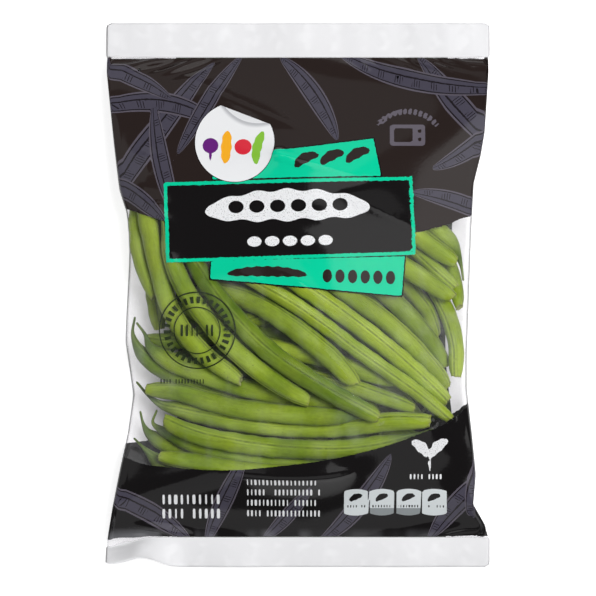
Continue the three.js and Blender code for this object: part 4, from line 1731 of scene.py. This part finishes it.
class LampPlace(Enum):
    """The softboxes' places round the bag, as seen from above."""

    ABOVE = "above"
    LEFT = "left"
    RIGHT = "right"
    HEADER = "header"
    FOOT = "foot"


@dataclass(frozen=True)
class Lamp:
    """A softbox: where it hangs, in metres, how large it is, and how bright its face is."""

    place: LampPlace
    at: tuple[float, float, float]
    size: tuple[float, float]
    brightness: float  # light from each part of its face, where a white page in full light gives 1
    mirrored: bool = True  # whether smooth surfaces show it


@dataclass
class Studio:
    """The camera, the softboxes, the room's pale light and the floor, in metres."""

    view_height: float = 2.2
    view_width: float = 0.2563
    sharp_height: float = 0.02
    view_centre: tuple[float, float] = (0.0, -0.0013)
    sensor: float = 36.0
    far: float = 50.0
    room: float = 0.07
    floor_size: float = 12.0
    floor_drop: float = 0.0002
    floor_glow: float = 0.8  # painted light: a glow which only the camera sees, and only outside the bag's middle, washing out the bag's shadow round it
    bag_reach: tuple[float, float] = (0.08, 0.115)  # across and up
    glow_fade: tuple[float, float] = (0.63, 0.96)  # of that reach, between which the glow sets in
    lamps: tuple[Lamp, ...] = (
        Lamp(LampPlace.ABOVE, (0.75, 0.4, 2.4), (0.9, 0.9), 18.0, mirrored=False),
        Lamp(LampPlace.LEFT, (-1.25, 0.1, 1.15), (1.3, 2.0), 0.35),
        Lamp(LampPlace.RIGHT, (0.95, 0.2, 1.45), (1.5, 2.0), 0.9),
        Lamp(LampPlace.HEADER, (0.0, 1.5, 0.9), (2.0, 1.2), 0.25),
        Lamp(LampPlace.FOOT, (0.0, -1.6, 0.9), (1.8, 1.2), 0.4),
    )

    def camera(self) -> None:
        """Hangs the camera straight above the bag, with the header at the top of the picture."""
        made = bpy.data.cameras.new("camera")
        made.sensor_width = self.sensor
        made.lens = self.sensor * (self.view_height - self.sharp_height) / self.view_width
        made.clip_end = self.far
        view = bpy.data.objects.new("camera", made)
        view.location = (*self.view_centre, self.view_height)
        bpy.context.scene.collection.objects.link(view)
        bpy.context.scene.camera = view

    def light(self) -> None:
        """Hangs the softboxes and sets the room's light."""
        for lamp in self.lamps:
            made = bpy.data.lights.new(f"softbox_{lamp.place.value}", "AREA")
            made.shape = "RECTANGLE"
            made.size, made.size_y = lamp.size
            made.energy = lamp.brightness * math.pi * lamp.size[0] * lamp.size[1]
            box = bpy.data.objects.new(made.name, made)
            box.location = lamp.at
            box.rotation_euler = (-Vector(lamp.at)).to_track_quat("-Z", "Y").to_euler()
            box.visible_camera = False
            box.visible_glossy = lamp.mirrored
            bpy.context.scene.collection.objects.link(box)
        room = bpy.data.worlds.new("room")
        room.use_nodes = True
        light = room.node_tree.nodes["Background"].inputs
        light["Color"].default_value = (1.0, 1.0, 1.0, 1.0)
        light["Strength"].default_value = self.room
        bpy.context.scene.world = room

    def floor(self) -> None:
        """Lays the pale floor, whose camera-only glow is painted light that keeps it near white and washes
        out the bag's shadow round it.
        """
        half, low = self.floor_size / 2 / MM, -self.floor_drop / MM
        corners = np.array([(-half, -half, low), (half, -half, low), (half, half, low), (-half, half, low)])
        ground = mesh_object("floor", corners, np.array([[0, 1, 2, 3]]), np.zeros((0, 3), int))
        made, loom, surface = new_material("pale_floor")
        x, y, _ = loom.split(loom.node("ShaderNodeTexCoord").outputs["Object"])
        away = (abs(x) * (1 / self.bag_reach[0])).most(abs(y) * (1 / self.bag_reach[1]))
        seen = loom.wire("ShaderNodeLightPath", "Is Camera Ray")
        shader = loom.node(
            "ShaderNodeBsdfPrincipled",
            Base_Color=(0.8, 0.8, 0.8, 1.0),
            Roughness=0.9,
            Emission_Color=(1.0, 1.0, 1.0, 1.0),
            Emission_Strength=away.fade(*self.glow_fade, 0.0, self.floor_glow) * seen,
            IOR=1.2,
        )
        loom.feed(surface, shader)
        ground.data.materials.append(made)

    def build(self) -> None:
        """Sets up the whole studio."""
        self.camera()
        self.light()
        self.floor()
        bpy.context.scene.view_settings.view_transform = "Standard"


def make_film(heap: PodHeap, node: bpy.types.Object, finish: bpy.types.Material) -> bpy.types.Object:
    """Simulates the bag's film over the beans and prints it.

    Args:
        heap: The beans.
        node: The film's CAD node.
        finish: The film's material.

    Returns:
        The film's object.
    """
    grid = PodField(heap.pods)
    bag = FilmBag(node, grid)
    film = bag.simulate()
    rows, columns = film.shape[:2]
    upper = np.arange(columns // 4, 3 * columns // 4)
    lower = (columns // 2 - upper) % columns
    after = (lower - 1) % columns
    foot = np.stack([upper, lower, after, upper + 1], axis=1)
    top = (rows - 1) * columns
    header = top + np.stack([upper, upper + 1, after, lower], axis=1)
    caps = [foot[1:-1], header[1:-1]]
    ends = np.stack([foot[0][[0, 2, 3]], foot[-1][[0, 1, 2]], header[0][[0, 1, 2]], header[-1][[0, 2, 3]]])
    quads = np.concatenate([ring_quads(rows, columns), *caps])
    piece = mesh_object("film", film.reshape(-1, 3), quads, ends)
    FilmPrint(film, bag, grid).store(piece)
    piece.data.materials.append(finish)
    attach(piece, BODY)
    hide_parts(FILM_NODE)
    log.info("film of %d faces", len(quads))
    return piece


def main() -> None:
    """Builds the bag's looks around the frame."""
    logging.basicConfig(level=logging.INFO)
    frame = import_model()
    Studio().build()
    group = speckle_group()
    heap = PodHeap(frame["nodes"])
    heap.build(PodFinish().build(group))
    make_film(heap, frame["nodes"][FILM_NODE], FilmFinish().build(group))


if __name__ == "__main__":
    main()
